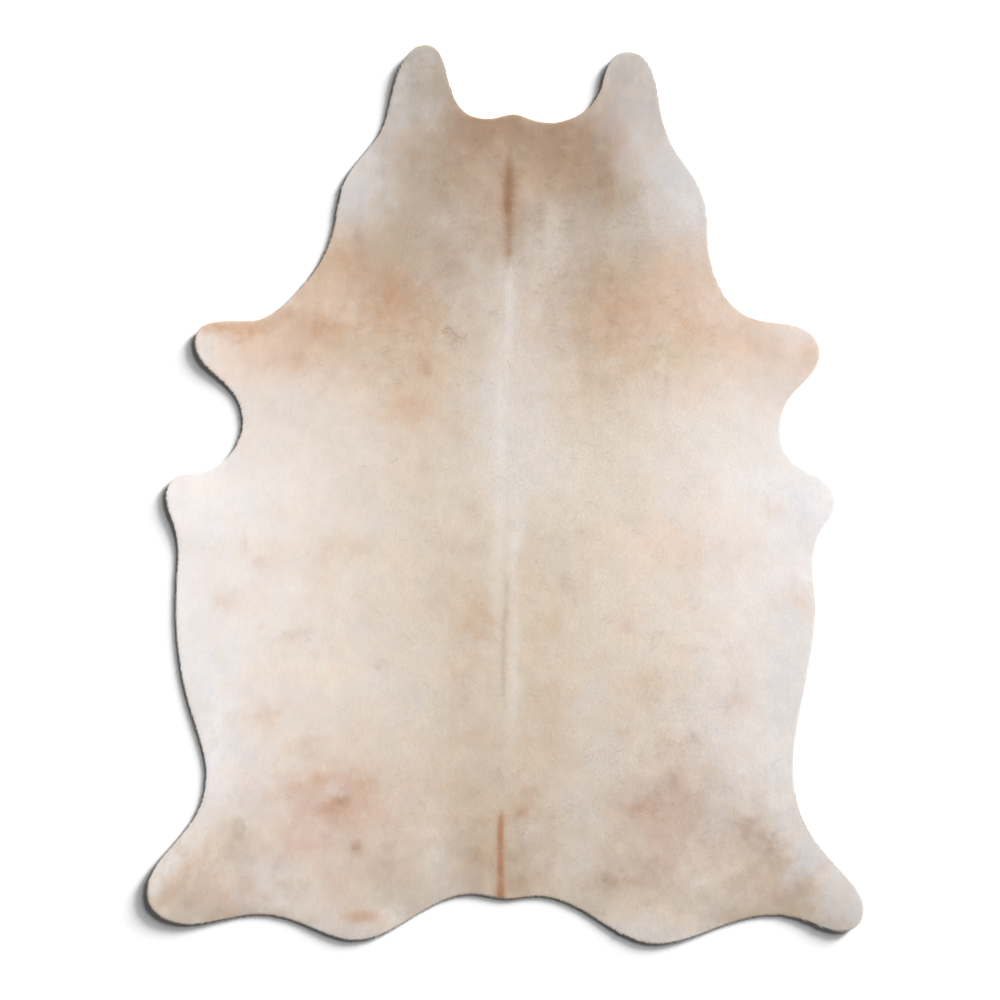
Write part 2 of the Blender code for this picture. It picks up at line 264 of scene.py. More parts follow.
SHOULDERS = (
    Patch("left shoulder", APRICOT, -290, 470, 75, 75, 0.5),
    Patch("left shoulder core", RUST, -290, 500, 35, 45, 0.3),
    Patch("left shoulder front", APRICOT, -400, 570, 50, 38, 0.75),
    Patch("left shoulder high", TAN, -445, 545, 35, 45, 0.5),
    Patch("left shoulder edge", TAN, -468, 528, 25, 30, 0.4),
    Patch("left shoulder rim", PEACH, -460, 510, 45, 55, 0.8, turn=-40),
    Patch("left fore leg root", APRICOT, -470, 395, 75, 38, 0.65),
    Patch("left fore leg core", RUST, -455, 402, 24, 20, 0.5),
    Patch("left fore leg knee", RUST, -405, 415, 22, 10, 0.35),
    Patch("left fore leg front", APRICOT, -620, 405, 50, 22, 0.8),
    Patch("left fore leg top", TAN, -645, 422, 75, 12, 0.5),
    Patch("left fore leg bend", APRICOT, -550, 440, 35, 16, 0.5, turn=25),
    Patch("left fore leg end", APRICOT, -705, 408, 50, 12, 0.75, edge=2),
    Patch("left fore leg rim", APRICOT, -680, 396, 42, 15, 0.3),
    Patch("left fore leg peach", PEACH, -540, 350, 110, 50, 0.75),
    Patch("left fore leg streak", ROSE, -540, 332, 50, 8, 0.6),
    Patch("left fore leg drop", APRICOT, -505, 340, 12, 35, 0.35, turn=-15),
    Patch("left fore leg warmth", APRICOT, -660, 375, 28, 20, 0.35),
    Patch("left breast", STRAW, -330, 360, 110, 45, 0.5),
    Patch("left withers", TAUPE, -190, 500, 70, 60, 0.25),
    Patch("left withers spot", UMBER, -170, 455, 12, 14, 0.1),
    Patch("left withers streak", UMBER, -125, 392, 30, 12, 0.28, turn=-30),
    Patch("left blade", TAN, -240, 395, 22, 20, 0.5),
    Patch("left rib streak", APRICOT, -200, 325, 20, 38, 0.5),
    Patch("left rib spot", RUST, -190, 298, 10, 9, 0.4),
    Patch("left rib", APRICOT, -235, 215, 32, 30, 0.6),
    Patch("left rib wash", PEACH, -220, 200, 80, 70, 0.5),
    Patch("left rib edge", TAN, -232, 208, 26, 30, 0.3),
    Patch("cream behind the right leg", CREAM, 450, 175, 75, 55, 0.3),
    Patch("cream behind the left leg", CREAM, -570, 180, 85, 65, 0.5),
    Patch("olive left of the ribs", OLIVE, -110, 160, 60, 160, 0.2),
    Patch("lavender right of the ribs", LILAC, 60, 240, 38, 110, 0.22),
    Patch("lavender spine", LILAC, -20, 190, 34, 190, 0.5),
    Patch("lavender right of the withers", LILAC, 105, 430, 60, 70, 0.3),
    Patch("lavender left of the withers", LILAC, -95, 520, 55, 60, 0.28),
    Patch("right withers", TAUPE, 215, 530, 55, 55, 0.5),
    Patch("right shoulder", APRICOT, 320, 450, 75, 65, 0.45),
    Patch("right shoulder core", RUST, 268, 450, 24, 55, 0.35),
    Patch("right shoulder spot", RUST, 312, 470, 12, 28, 0.2),
    Patch("right shoulder front", PEACH, 440, 530, 75, 75, 0.85),
    Patch("right shoulder back", TAUPE, 200, 385, 55, 40, 0.2),
    Patch("right withers low", TAN, 208, 455, 34, 34, 0.32),
    Patch("right shoulder high", TAN, 372, 530, 30, 30, 0.3),
    Patch("right withers spot", TAN, 408, 450, 28, 28, 0.3),
    Patch("right fore leg root", APRICOT, 470, 405, 50, 28, 0.6),
    Patch("right fore leg band", PEACH, 500, 390, 130, 45, 0.55, turn=-8),
    Patch("right fore leg bend", APRICOT, 565, 410, 22, 32, 0.3),
    Patch("right fore leg peach", BLUSH, 620, 360, 80, 45, 0.85, turn=-15),
    Patch("right fore leg spot", PEACH, 655, 365, 22, 38, 0.3),
    # Painted light: lightens the curled fore leg tip, which the lamps leave in shade.
    Patch("right fore leg pale", SHELL, 692, 275, 60, 55, 0.85),
    Patch("right fore leg end", APRICOT, 742, 342, 26, 20, 0.55),
    Patch("right fore leg tip edge", APRICOT, 724, 302, 13, 24, 0.6, turn=-30),
    Patch("right breast", STRAW, 400, 345, 80, 32, 0.6),
    Patch("right rib", TAN, 235, 270, 45, 45, 0.25),
    Patch("right rib wash", STRAW, 220, 190, 75, 50, 0.3),
    Patch("pale right ribs", CREAM, 330, 212, 30, 30, 0.3),
    Patch("right rib streak", ROSE, 395, 280, 6, 22, 0.4),
    # Painted light: lightens the underside of the curled fore leg tip, which the lamps leave in shade.
    Patch("right fore leg under glow", HONEY, 716, 308, 46, 42, 0.7),
    Patch("right fore leg inner warmth", PEACH, 635, 335, 45, 40, 0.28),
    Patch("left shoulder rim warmth", TAN, -465, 545, 50, 45, 0.5),
    Patch("left shoulder dusk", TAUPE, -355, 560, 30, 40, 0.2),
    Patch("right shoulder outer glow", BLUSH, 505, 500, 45, 50, 0.36),
    Patch("left shoulder pale fleck", CREAM, -390, 440, 35, 30, 0.2),
    Patch("left bay shade", CLAY, -620, 215, 70, 30, 0.14),
    Patch("left bay foot", CLAY, -550, 115, 50, 30, 0.13),
    Patch("left breast faint shade", CLAY, -480, 215, 60, 50, 0.13),
    Patch("right upper arm warmth", PEACH, 560, 395, 45, 40, 0.55),
    Patch("right forearm fleck", CREAM, 378, 366, 28, 16, 0.27),
    Patch("right withers edge dusk", TAUPE, 198, 465, 22, 40, 0.28),
    Patch("right shoulder faint warmth", APRICOT, 470, 405, 50, 22, 0.1),
    Patch("right shoulder fleck", CREAM, 275, 435, 18, 16, 0.17),
    Patch("right fore leg lower pale", MIST, 690, 255, 30, 30, 0.35),
)
BODY = (
    Patch("left loin block", STRAW, -95, -128, 60, 25, 0.5, edge=2.5),
    Patch("left loin spot", TAN, -210, -82, 22, 20, 0.25),
    Patch("left loin", STRAW, -110, -220, 60, 60, 0.35),
    Patch("left loin outer", TAN, -175, -260, 35, 40, 0.25),
    Patch("left loin core", APRICOT, -62, -308, 38, 50, 0.4, edge=2.5),
    Patch("left loin glow", TAN, -85, -320, 60, 65, 0.2),
    Patch("left croup", MAUVE, -108, -450, 30, 22, 0.2),
    Patch("left croup low", MAUVE, -105, -500, 26, 35, 0.25),
    Patch("left croup wash", OLIVE, -120, -560, 40, 70, 0.25),
    Patch("lavender left of the croup", LILAC, -240, -510, 70, 170, 0.3),
    Patch("lavender right of the croup", LILAC, 212, -520, 42, 130, 0.25),
    Patch("left croup spot", UMBER, -108, -378, 9, 6, 0.05),
    Patch("left flank spot", ROSE, -300, -412, 20, 14, 0.4),
    Patch("left side pink", PEACH, -365, -125, 22, 10, 0.4, turn=30),
    Patch("left side pink two", PEACH, -450, -160, 24, 20, 0.35),
    Patch("left side pink three", ROSE, -600, -165, 22, 14, 0.35),
    Patch("left side streak", ROSE, -638, -125, 6, 20, 0.3),
    Patch("left belly peach", PEACH, -690, -265, 32, 26, 0.4),
    Patch("left side brown", STRAW, -520, -345, 35, 12, 0.4, turn=15),
    Patch("left side brown two", ROSE, -480, -390, 24, 10, 0.3),
    Patch("left stifle peach", PEACH, -590, -535, 42, 32, 0.6),
    Patch("left stifle low", TAN, -495, -622, 42, 35, 0.3),
    Patch("left chest", TAN, -80, -30, 24, 20, 0.25),
    Patch("left chest high", TAN, -200, 70, 16, 30, 0.3),
    Patch("left chest wash", TAN, -190, 8, 30, 24, 0.3),
    Patch("left side wash", STRAW, -400, -140, 100, 50, 0.15),
    Patch("right loin block", STRAW, 50, -165, 28, 22, 0.5, edge=2.5),
    Patch("right loin", STRAW, 80, -290, 60, 140, 0.35),
    Patch("right loin spot", TAUPE, 145, -222, 24, 22, 0.2),
    Patch("right loin brown", TAUPE, 122, -118, 26, 18, 0.1),
    Patch("right loin far", TAN, 182, -100, 22, 14, 0.3),
    Patch("right loin peach", PEACH, 218, -90, 16, 8, 0.2),
    Patch("right side peach", BLUSH, 390, -110, 80, 50, 0.6),
    Patch("right side peach two", PEACH, 450, -160, 60, 28, 0.25),
    Patch("right side spot", ROSE, 345, -108, 14, 12, 0.15),
    Patch("right side brown", STRAW, 300, -58, 32, 14, 0.3),
    Patch("right side olive", OLIVE, 315, 10, 45, 40, 0.12),
    Patch("right flank spot", ROSE, 295, -325, 16, 14, 0.6),
    Patch("right flank streak", TAN, 368, -340, 20, 8, 0.25),
    Patch("right flank pink", ROSE, 470, -380, 36, 10, 0.35),
    Patch("right flank shade", TAUPE, 255, -410, 32, 45, 0.12),
    Patch("right hip", TAN, 345, -465, 45, 45, 0.35),
    Patch("right hip brown", TAN, 480, -668, 50, 35, 0.3),
    Patch("lavender right flank", LILAC, 535, -530, 90, 140, 0.35),
    Patch("right hip wash", TAN, 350, -515, 115, 60, 0.22),
    Patch("right hip low", BARK, 400, -620, 70, 28, 0.25),
    Patch("right hip outer", ROSE, 565, -505, 28, 28, 0.45),
    Patch("right croup", TAN, 95, -500, 36, 60, 0.3),
    Patch("middle of the croup", ASH, -10, -620, 32, 130, 0.22),
    Patch("left of the croup", TAN, -72, -590, 30, 30, 0.3),
    Patch("right of the croup", TAN, 100, -600, 60, 95, 0.3),
    Patch("right croup core", MAUVE, 120, -505, 14, 40, 0.15),
    Patch("right belly peach", PEACH, 732, -255, 22, 34, 0.5),
    Patch("right belly edge", PEACH, 742, -150, 8, 26, 0.5),
    Patch("right chest peach", ROSE, 452, 22, 22, 10, 0.15),
    Patch("right chest pink", ROSE, 652, -40, 20, 16, 0.25),
    Patch("right chest faint", PEACH, 128, 5, 14, 12, 0.1),
    Patch("right fore leg orange", PEACH, 738, 330, 26, 26, 0.35),
    Patch("right fore leg cream", SHELL, 705, 268, 40, 40, 0.6),
    # Painted light: lightens the curled tip, which slopes away from the lamps into shade.
    Patch("left fore leg tip", FROST, -752, 335, 26, 42, 0.7),
    Patch("left flank upper", SNOW, -800, -290, 30, 90, 0.45),
    Patch("left side upper", FROST, -790, -330, 35, 60, 0.4),
    Patch("right fore leg root pale", SHELL, 560, 435, 70, 25, 0.3),
    # Painted light: lightens the elbow's rim and tip, which slope away from the lamps into shade.
    Patch("left elbow rim", SNOW, -835, -45, 22, 60, 0.7),
    Patch("left elbow tip", SNOW, -842, -40, 20, 50, 0.6),
    Patch("right flank low pale", FROST, 690, -800, 28, 60, 0.6),
    Patch("right flank pale", SNOW, 738, -140, 35, 110, 0.6),
    Patch("left flank pale", SNOW, -715, -600, 42, 130, 0.55),
    Patch("right flank warm spot", PEACH, 742, -232, 40, 26, 0.2),
    Patch("left ribs faint shade", CLAY, -380, 10, 60, 60, 0.12),
    Patch("left elbow cool shade", FOG, -670, 110, 35, 40, 0.15),
)
RUMP = (
    Patch("tail head", TAUPE, -10, -930, 120, 120, 0.55),
    Patch("left rump", ROSE, -410, -745, 115, 65, 0.65),
    Patch("left rump front", APRICOT, -345, -715, 30, 32, 0.5),
    Patch("left rump low", RUST, -425, -778, 38, 22, 0.35),
    Patch("left rump warm", APRICOT, -390, -792, 30, 24, 0.28),
    Patch("left rump core", RUST, -402, -752, 22, 12, 0.5, edge=2),
    Patch("left rump dark", UMBER, -405, -750, 12, 6, 0.2, edge=2),
    Patch("left rump high", APRICOT, -452, -700, 24, 14, 0.5),
    Patch("left rump outer", APRICOT, -500, -725, 42, 18, 0.35),
    Patch("left rump gap", PEARL, -430, -720, 12, 12, 0.3),
    Patch("left rump inner", ROSE, -300, -790, 26, 22, 0.5),
    Patch("left thigh spot", UMBER, -365, -865, 14, 18, 0.5, edge=2),
    Patch("left thigh pink", ROSE, -500, -855, 60, 26, 0.75),
    Patch("left stifle olive", OLIVE, -658, -842, 26, 46, 0.65),
    Patch("left hock streak", APRICOT, -803, -946, 19, 72, 0.7, turn=-38, edge=2),
    Patch("left hock streak end", TAN, -836, -988, 32, 16, 0.7, turn=20),
    Patch("left hock", ROSE, -725, -1000, 80, 36, 0.3),
    Patch("left hock pale", PEARL, -578, -935, 45, 35, 0.5),
    Patch("left thigh pale", PEARL, -655, -906, 30, 18, 0.35),
    Patch("left hock brown", TAN, -750, -912, 30, 24, 0.25),
    Patch("left thigh brown", TAN, -715, -875, 38, 28, 0.35),
    Patch("left hock pink", ROSE, -660, -990, 60, 40, 0.2),
    Patch("left hind foot", ASH, -785, -1000, 48, 45, 0.5),
    # Painted shade along the lower rim.
    Patch("left sole", ASH, -665, -1034, 150, 27, 0.8),
    Patch("left lobe cream", PEARL, -430, -1046, 32, 34, 0.4),
    # Painted light: lightens the leg's outer rim, which slopes away from the lamps into shade.
    Patch("left hind leg rim", PEARL, -822, -908, 26, 80, 0.75, turn=-40),
    Patch("left hock cream", PEARL, -552, -992, 34, 28, 0.5),
    # Painted shade along the lower rim.
    Patch("left lobe rim", ASH, -512, -1066, 34, 18, 0.6),
    # Painted shade along the lower rim.
    Patch("left sole rim", TAUPE, -615, -1040, 100, 13, 0.5),
    Patch("left lobe spot", APRICOT, -354, -1034, 46, 15, 0.75, edge=3, ragged=0.25),
    Patch("left lobe core", RUST, -340, -1036, 20, 9, 0.45),
    Patch("left lobe", FOG, -370, -1085, 120, 30, 0.8),
    Patch("left seat", ROSE, -405, -960, 26, 40, 0.4),
    Patch("left hock low pale", PEARL, -512, -1030, 26, 26, 0.35),
    Patch("left lobe inner", ROSE, -310, -1038, 28, 22, 0.3),
    Patch("left seat inner", ROSE, -300, -920, 40, 32, 0.45),
    Patch("left tail side", TAN, -110, -722, 60, 20, 0.35, turn=-10),
    Patch("left tail spot", TAUPE, -82, -732, 16, 12, 0.3),
    Patch("left tail brown", UMBER, -72, -882, 24, 22, 0.28),
    Patch("left tail brown wash", TAUPE, -110, -870, 45, 40, 0.2),
    Patch("left tail high", TAUPE, -62, -800, 22, 18, 0.35),
    Patch("left tail wash", TAUPE, -72, -700, 60, 110, 0.16),
    Patch("left tail pale", PEARL, -180, -930, 40, 50, 0.3),
    Patch("left tail cream", PEARL, -182, -850, 40, 50, 0.28),
    Patch("grey left of the tail", FOG, -150, -950, 50, 40, 0.4),
    Patch("left seat brown", TAUPE, -290, -895, 45, 40, 0.25),
    Patch("left seat shade", ASH, -278, -968, 60, 40, 0.4),
    Patch("left tail edge", ASH, -215, -1025, 45, 28, 0.65),
    Patch("left seat cream", PEARL, -278, -1030, 24, 24, 0.45),
    # Painted shade along the lower rim.
    Patch("tail rim", ASH, 0, -997, 150, 8, 0.6),
    Patch("right of the tail root", ASH, 100, -985, 50, 18, 0.35),
    Patch("left of the tail root", ASH, -80, -985, 50, 18, 0.35),
    # Painted shade along the lower rim.
    Patch("tail rim grey", FOG, -10, -996, 150, 12, 0.5),
    Patch("right tail spot", RUST, 62, -730, 20, 15, 0.35, edge=2),
    Patch("right tail spot halo", TAN, 88, -712, 32, 28, 0.35),
    Patch("right tail spot two", RUST, 40, -776, 17, 16, 0.5),
    Patch("right tail brown", UMBER, 62, -895, 30, 26, 0.12),
    Patch("right tail wash", TAUPE, 60, -860, 50, 45, 0.1),
    Patch("right tail cream", PEARL, 64, -822, 26, 30, 0.28),
    Patch("right tail faint", ROSE, 22, -690, 18, 14, 0.4),
    Patch("right tail grey", ASH, 145, -780, 26, 20, 0.15),
    Patch("lavender right of the tail", LILAC, 160, -910, 75, 75, 0.28),
    Patch("right tail brown low", TAUPE, 212, -956, 55, 26, 0.32),
    Patch("lavender right croup", LILAC, 250, -630, 42, 50, 0.32),
    Patch("lavender right rump", LILAC, 205, -795, 50, 68, 0.38),
    Patch("right tail edge", ASH, 205, -1020, 35, 24, 0.7),
    Patch("right rump", MAUVE, 380, -735, 130, 65, 0.32),
    Patch("right rump core", RUST, 345, -765, 62, 18, 0.28, turn=8),
    Patch("right rump left end", RUST, 318, -768, 22, 10, 0.25),
    Patch("right rump shade", UMBER, 378, -733, 20, 10, 0.15),
    Patch("right rump spot", UMBER, 415, -706, 10, 16, 0.4, turn=15, edge=2),
    Patch("right rump spot halo", RUST, 405, -695, 26, 24, 0.15),
    Patch("right rump lilac", MAUVE, 455, -755, 40, 28, 0.3, turn=-30),
    Patch("right thigh", ROSE, 385, -850, 45, 60, 0.5),
    Patch("right thigh brown", TAUPE, 340, -925, 50, 50, 0.25),
    Patch("right seat", ASH, 440, -995, 100, 40, 0.45),
    Patch("right thigh wash", MAUVE, 440, -830, 75, 50, 0.3),
    Patch("right thigh low", MAUVE, 370, -930, 45, 45, 0.3),
    Patch("right thigh spot", UMBER, 250, -945, 18, 18, 0.35, edge=2),
    Patch("right thigh spot halo", TAUPE, 268, -935, 45, 35, 0.25),
    Patch("right thigh streak", TAUPE, 322, -950, 26, 8, 0.25),
    Patch("right stifle spot", MAUVE, 590, -812, 28, 22, 0.5),
    Patch("right stifle", TAUPE, 560, -840, 75, 38, 0.15),
    Patch("lavender right stifle", LILAC, 525, -792, 34, 34, 0.35),
    Patch("right stifle shade", OLIVE, 670, -835, 35, 35, 0.1),
    Patch("lavender right thigh rim", LILAC, 716, -785, 30, 50, 0.4),
    Patch("right hock", TAUPE, 650, -960, 125, 75, 0.5),
    Patch("lavender right hock", LILAC, 525, -1032, 28, 22, 0.35),
    Patch("right hock outer", BARK, 640, -862, 70, 28, 0.4, turn=-35),
    Patch("right hock core", RUST, 665, -998, 50, 26, 0.4),
    Patch("right hock olive", OLIVE, 715, -985, 42, 36, 0.5),
    Patch("right hock inner", TAUPE, 545, -1030, 28, 22, 0.4),
    Patch("right lobe side", ASH, 545, -1025, 40, 24, 0.3),
    Patch("right lobe inner", FOG, 245, -1066, 28, 24, 0.5),
    # Painted shade along the lower rim.
    Patch("right lobe rim", ASH, 500, -1068, 38, 18, 0.6),
    # Painted shade along the lower rim.
    Patch("right sole", OLIVE, 665, -1030, 135, 27, 0.85),
    Patch("right hind foot", FOG, 852, -1015, 30, 32, 0.5),
    Patch("right hock brown", TAN, 672, -950, 44, 24, 0.5),
    Patch("right hock edge", TAN, 770, -1028, 30, 16, 0.4),
    Patch("right hock dark", TAUPE, 685, -975, 44, 34, 0.3),
    # Painted shade along the lower rim.
    Patch("right sole rim", TAUPE, 640, -1042, 100, 13, 0.6),
    Patch("right hind leg", LILAC, 850, -980, 70, 100, 0.85, turn=-35, edge=3),
    Patch("right hind leg front", LILAC, 770, -850, 35, 110, 0.8, turn=-38, edge=2.5),
    # Painted shade along the lower rim.
    Patch("right hind leg sole", ASH, 800, -1052, 60, 16, 0.7),
    Patch("right lobe", FOG, 380, -1090, 120, 35, 0.7),
    Patch("right hip streak", ASH, 462, -595, 8, 22, 0.4, turn=35),
    Patch("right hip faint", TAUPE, 285, -580, 16, 10, 0.3),
    Patch("left hind leg outer shade", CLAY, -805, -895, 50, 50, 0.25),
    Patch("right rump lobe rim pale", MIST, 330, -1065, 50, 24, 0.2),
    Patch("right hind leg tip warmth", TAN, 810, -1005, 40, 35, 0.2),
)
SPINE = (
    Patch("spine above the ribs", CREAM, 8, 480, 20, 70, 0.4, ragged=0.2),
    Patch("spine between the blades", CREAM, 0, 330, 34, 110, 0.35, ragged=0.2),
    Patch("spine at the ribs", CREAM, 2, 130, 36, 170, 0.45, ragged=0.2),
    Patch("spine at the loin", CREAM, 14, -90, 26, 80, 0.3, ragged=0.2),
    Patch("spine low left", CREAM, -22, -290, 10, 110, 0.3, ragged=0.2),
    Patch("spine low right", CREAM, 20, -350, 12, 130, 0.2, ragged=0.2),
)
PATCHES = WASHES + MOTTLES + HEAD + SHOULDERS + BODY + RUMP + SPINE

# Narrow stripes of darker or paler hair down the back: how sharply each ends at its sides and how
# far it frays there, and a knot for each place from the ears to the tail, with the middle of the
# stripe, half its width and how strong its tone is there.
Knot = namedtuple("Knot", "y x half strength")
Stripe = namedtuple("Stripe", "name tone sharp fray knots")
STRIPES = (
    Stripe("neck stripe halo", SAND, sharp=1.3, fray=7, knots=(
        Knot(880, 12, 12, 0.0), Knot(830, 10, 16, 0.35), Knot(790, 12, 20, 0.45), Knot(740, 8, 27, 0.55),
        Knot(700, 6, 30, 0.45), Knot(650, 5, 27, 0.3), Knot(610, 2, 22, 0.2), Knot(560, 0, 20, 0.08),
        Knot(530, 0, 16, 0.0),
    )),
    Stripe("neck stripe", BARK, sharp=2.0, fray=5, knots=(
        Knot(870, 10, 6, 0.0), Knot(842, 11, 6, 0.2), Knot(815, 8, 11, 0.65), Knot(790, 9, 13, 0.85),
        Knot(765, 9, 15, 0.95), Knot(740, 7, 14, 0.9), Knot(715, 6, 14, 0.95), Knot(697, 5, 11, 1.0),
        Knot(680, 9, 12, 0.55), Knot(655, 9, 13, 0.6), Knot(632, 6, 10, 0.5), Knot(612, 6, 9, 0.35),
        Knot(590, 7, 9, 0.55), Knot(572, 6, 6, 0.2), Knot(560, 3, 6, 0.25), Knot(545, 3, 5, 0.0),
    )),
    Stripe("neck stripe core", UMBER, sharp=2.0, fray=4.5, knots=(
        Knot(805, 11, 5, 0.0), Knot(785, 9, 6, 0.35), Knot(768, 5, 7, 0.5), Knot(745, 6, 7, 0.3),
        Knot(715, 5, 8, 0.5), Knot(695, 5, 7, 0.6), Knot(680, 7, 5, 0.25), Knot(655, 9, 5, 0.35),
        Knot(630, 8, 4, 0.15), Knot(590, 7, 4, 0.2), Knot(575, 7, 4, 0.0),
    )),
    Stripe("pale line of the withers", IVORY, sharp=1.8, fray=2, knots=(
        Knot(570, 8, 7, 0.0), Knot(530, 10, 9, 0.16), Knot(430, 10, 10, 0.2), Knot(370, 8, 10, 0.16),
        Knot(320, 4, 8, 0.0),
    )),
    Stripe("pale line of the ribs", IVORY, sharp=1.8, fray=2, knots=(
        Knot(300, -17, 7, 0.0), Knot(270, -18, 9, 0.2), Knot(200, -13, 9, 0.2), Knot(60, -13, 10, 0.14),
        Knot(-80, -18, 11, 0.14), Knot(-190, -18, 9, 0.1), Knot(-225, -18, 8, 0.0),
    )),
    Stripe("pale line of the loin", IVORY, sharp=1.8, fray=2, knots=(
        Knot(10, 34, 8, 0.0), Knot(-40, 30, 12, 0.14), Knot(-130, 20, 12, 0.2), Knot(-200, 18, 9, 0.14),
        Knot(-280, 20, 8, 0.08), Knot(-330, 24, 13, 0.2), Knot(-420, 18, 12, 0.16),
        Knot(-520, 16, 14, 0.14), Knot(-620, 8, 14, 0.08), Knot(-700, 0, 12, 0.0),
    )),
    Stripe("line of the back", TAUPE, sharp=2.0, fray=2, knots=(
        Knot(-190, 1, 4, 0.0), Knot(-225, 2, 7, 0.3), Knot(-255, 0, 4, 0.1), Knot(-290, 1, 6, 0.4),
        Knot(-320, -6, 6, 0.35), Knot(-360, -5, 5, 0.3), Knot(-410, -6, 5, 0.35), Knot(-470, -6, 5, 0.35),
        Knot(-510, -5, 4, 0.15), Knot(-540, -5, 4, 0.0),
    )),
    Stripe("tail stripe halo", SAND, sharp=1.3, fray=4, knots=(
        Knot(-755, -10, 8, 0.0), Knot(-790, -12, 12, 0.35), Knot(-835, -14, 13, 0.4),
        Knot(-900, -14, 15, 0.45), Knot(-950, -12, 17, 0.4), Knot(-990, -12, 18, 0.5),
    )),
    Stripe("tail stripe", RUST, sharp=2.5, fray=2, knots=(
        Knot(-768, -9, 4, 0.0), Knot(-785, -11, 6, 0.6), Knot(-800, -12, 7, 0.85),
        Knot(-835, -13, 8, 0.95), Knot(-858, -13, 7, 0.8), Knot(-890, -13, 7, 0.85),
        Knot(-920, -13, 8, 0.85), Knot(-945, -12, 8, 0.65), Knot(-965, -13, 10, 0.85),
        Knot(-990, -13, 10, 0.95),
    )),
    Stripe("tail stripe core", UMBER, sharp=2.0, fray=2, knots=(
        Knot(-880, -13, 5, 0.0), Knot(-915, -13, 6, 0.4), Knot(-940, -12, 6, 0.15),
        Knot(-965, -13, 7, 0.3), Knot(-990, -13, 8, 0.8),
    )),
)

# Size of a patch's ragged edge beside the patch, size of what breaks it up inside, which is a
# share of the patch and a length, how sharp and how deep those breaks are, and between which
# distances from its middle the patch fades out for good, in half widths.
RAGGED_SIZE = 0.9
BREAK_SHARE = 0.45
BREAK_LEAST = 8 * MM
BREAK_OCTAVES = 5
BREAK_SEED = 50
BREAK_EDGE = 2.6
BREAK_DEPTH = 0.8
FADE_FROM = 2.6
FADE_TO = 4.0

# How far from the spine a stripe can reach, and the size of the strokes at its edges.
STRIPE_REACH = 110 * MM
STROKE_WIDTH = 22 * MM
STROKE_LENGTH = 6 * MM

# Faint mottling everywhere: size and strength of the lighter and darker, warmer and cooler.
Cloud = namedtuple("Cloud", "size light warmth")
CLOUDS = (
    Cloud(size=95, light=0.022, warmth=0.029),
    Cloud(size=34, light=0.018, warmth=0.02),
)
WARM = (0.6, -0.1, -1.0)
LIGHT_SEED = 300
WARMTH_SEED = 330

# Small ruffles, where the hair stands up in bent lines across its lie: areas with a centre, a
# reach and how many ranks of ruffles they hold.
Area = namedtuple("Area", "name x y across along count")
RUFFLED = (
    Area("poll", 20, 820, 150, 70, 25),
    Area("left neck", -160, 640, 110, 100, 37),
    Area("right neck", 190, 620, 130, 110, 37),
    Area("left shoulder", -310, 450, 130, 90, 56),
    Area("left fore leg", -520, 370, 110, 50, 16),
    Area("right shoulder", 290, 430, 140, 90, 37),
    Area("left ribs", -200, 240, 100, 90, 22),
    Area("back", 0, 40, 260, 150, 31),
    Area("loin", 0, -300, 230, 160, 37),
    Area("left side", -420, -350, 140, 160, 16),
    Area("right side", 400, -350, 140, 180, 19),
    Area("left rump", -410, -760, 140, 90, 37),
    Area("tail", 0, -830, 130, 80, 22),
    Area("right rump", 380, -780, 160, 100, 43),
    Area("left hock", -680, -940, 90, 60, 12),
    Area("right hock", 620, -920, 100, 70, 19),
)

# A rank is one to so many ruffles behind each other: how far apart, how far each may slip aside as
# a share of its length, and how much each turns from the rank, in degrees. Length and half width of
# a ruffle, how far a rank strays from square to the hair, how far a ruffle bends to one side and
# then back, in degrees, and how far apart its hairs are.
RUFFLE_RANK = 4
RUFFLE_GAP = (5, 14)
RUFFLE_SLIP = 0.7
RUFFLE_TURN = 14
RUFFLE_LONG = (9, 30)
RUFFLE_HALF = (1.3, 2.2)
RUFFLE_STRAY = 26
RUFFLE_BEND = 60
RUFFLE_BENDS = (0, 1.5)
RUFFLE_WAVE = 28
RUFFLE_SPACING = 1.6
RUFFLE_SEED = 31

# How much painted shade darkens a ruffle in red, green and blue, the share of that in the weakest,
# how much painted light lightens the hair in front of some, which share of them has that and how far
# ahead it lies, in half widths, and how far from the rim ruffles stay.
RUFFLE_PAINTED_SHADE = (0.12, 0.17, 0.21)
RUFFLE_WEAKEST = 0.15
RUFFLE_PAINTED_LIGHT = -0.28
RUFFLE_PAINTED_LIGHT_SHARE = 0.4
RUFFLE_AHEAD = 2
RUFFLE_CLEAR = 22

# Single marks in the hair: middle, direction in degrees from +X, bend, length, and how much darker
# in red, green and blue.
Mark = namedtuple("Mark", "name x y heading bend long shade")
MARKS = (
    Mark("squiggle start", -150, 399, -20, 120, 22, (0.2, 0.28, 0.34)),
    Mark("squiggle top", -141, 405, 12, -110, 30, (0.28, 0.38, 0.46)),
    Mark("squiggle middle", -118, 389, -32, 60, 44, (0.24, 0.34, 0.42)),
    Mark("squiggle side", -98, 388, 60, -50, 24, (0.2, 0.3, 0.36)),
    Mark("squiggle low", -108, 366, 84, 20, 24, (0.26, 0.34, 0.42)),
    Mark("mark by the spine", 11, 313, -65, -12, 42, (0.21, 0.23, 0.23)),
    Mark("red streak", 391, 274, 88, 14, 42, (0.06, 0.2, 0.27)),
    Mark("left loin streak", 211, -642, 60, 40, 30, (0.2, 0.2, 0.2)),
    Mark("right hip streak", 456, -596, 70, 30, 32, (0.18, 0.2, 0.22)),
    Mark("right flank streak", 661, -655, 40, -30, 32, (0.18, 0.18, 0.18)),
)

# The photograph's frame: the plain of the hide that the picture's width covers, and the middle of
# the picture in the frame of the hide.
PICTURE_WIDTH = 2.4496
PICTURE_MIDDLE = (-0.0141, -0.0141)
LENS_MM = 85.0
SENSOR_MM = 36.0

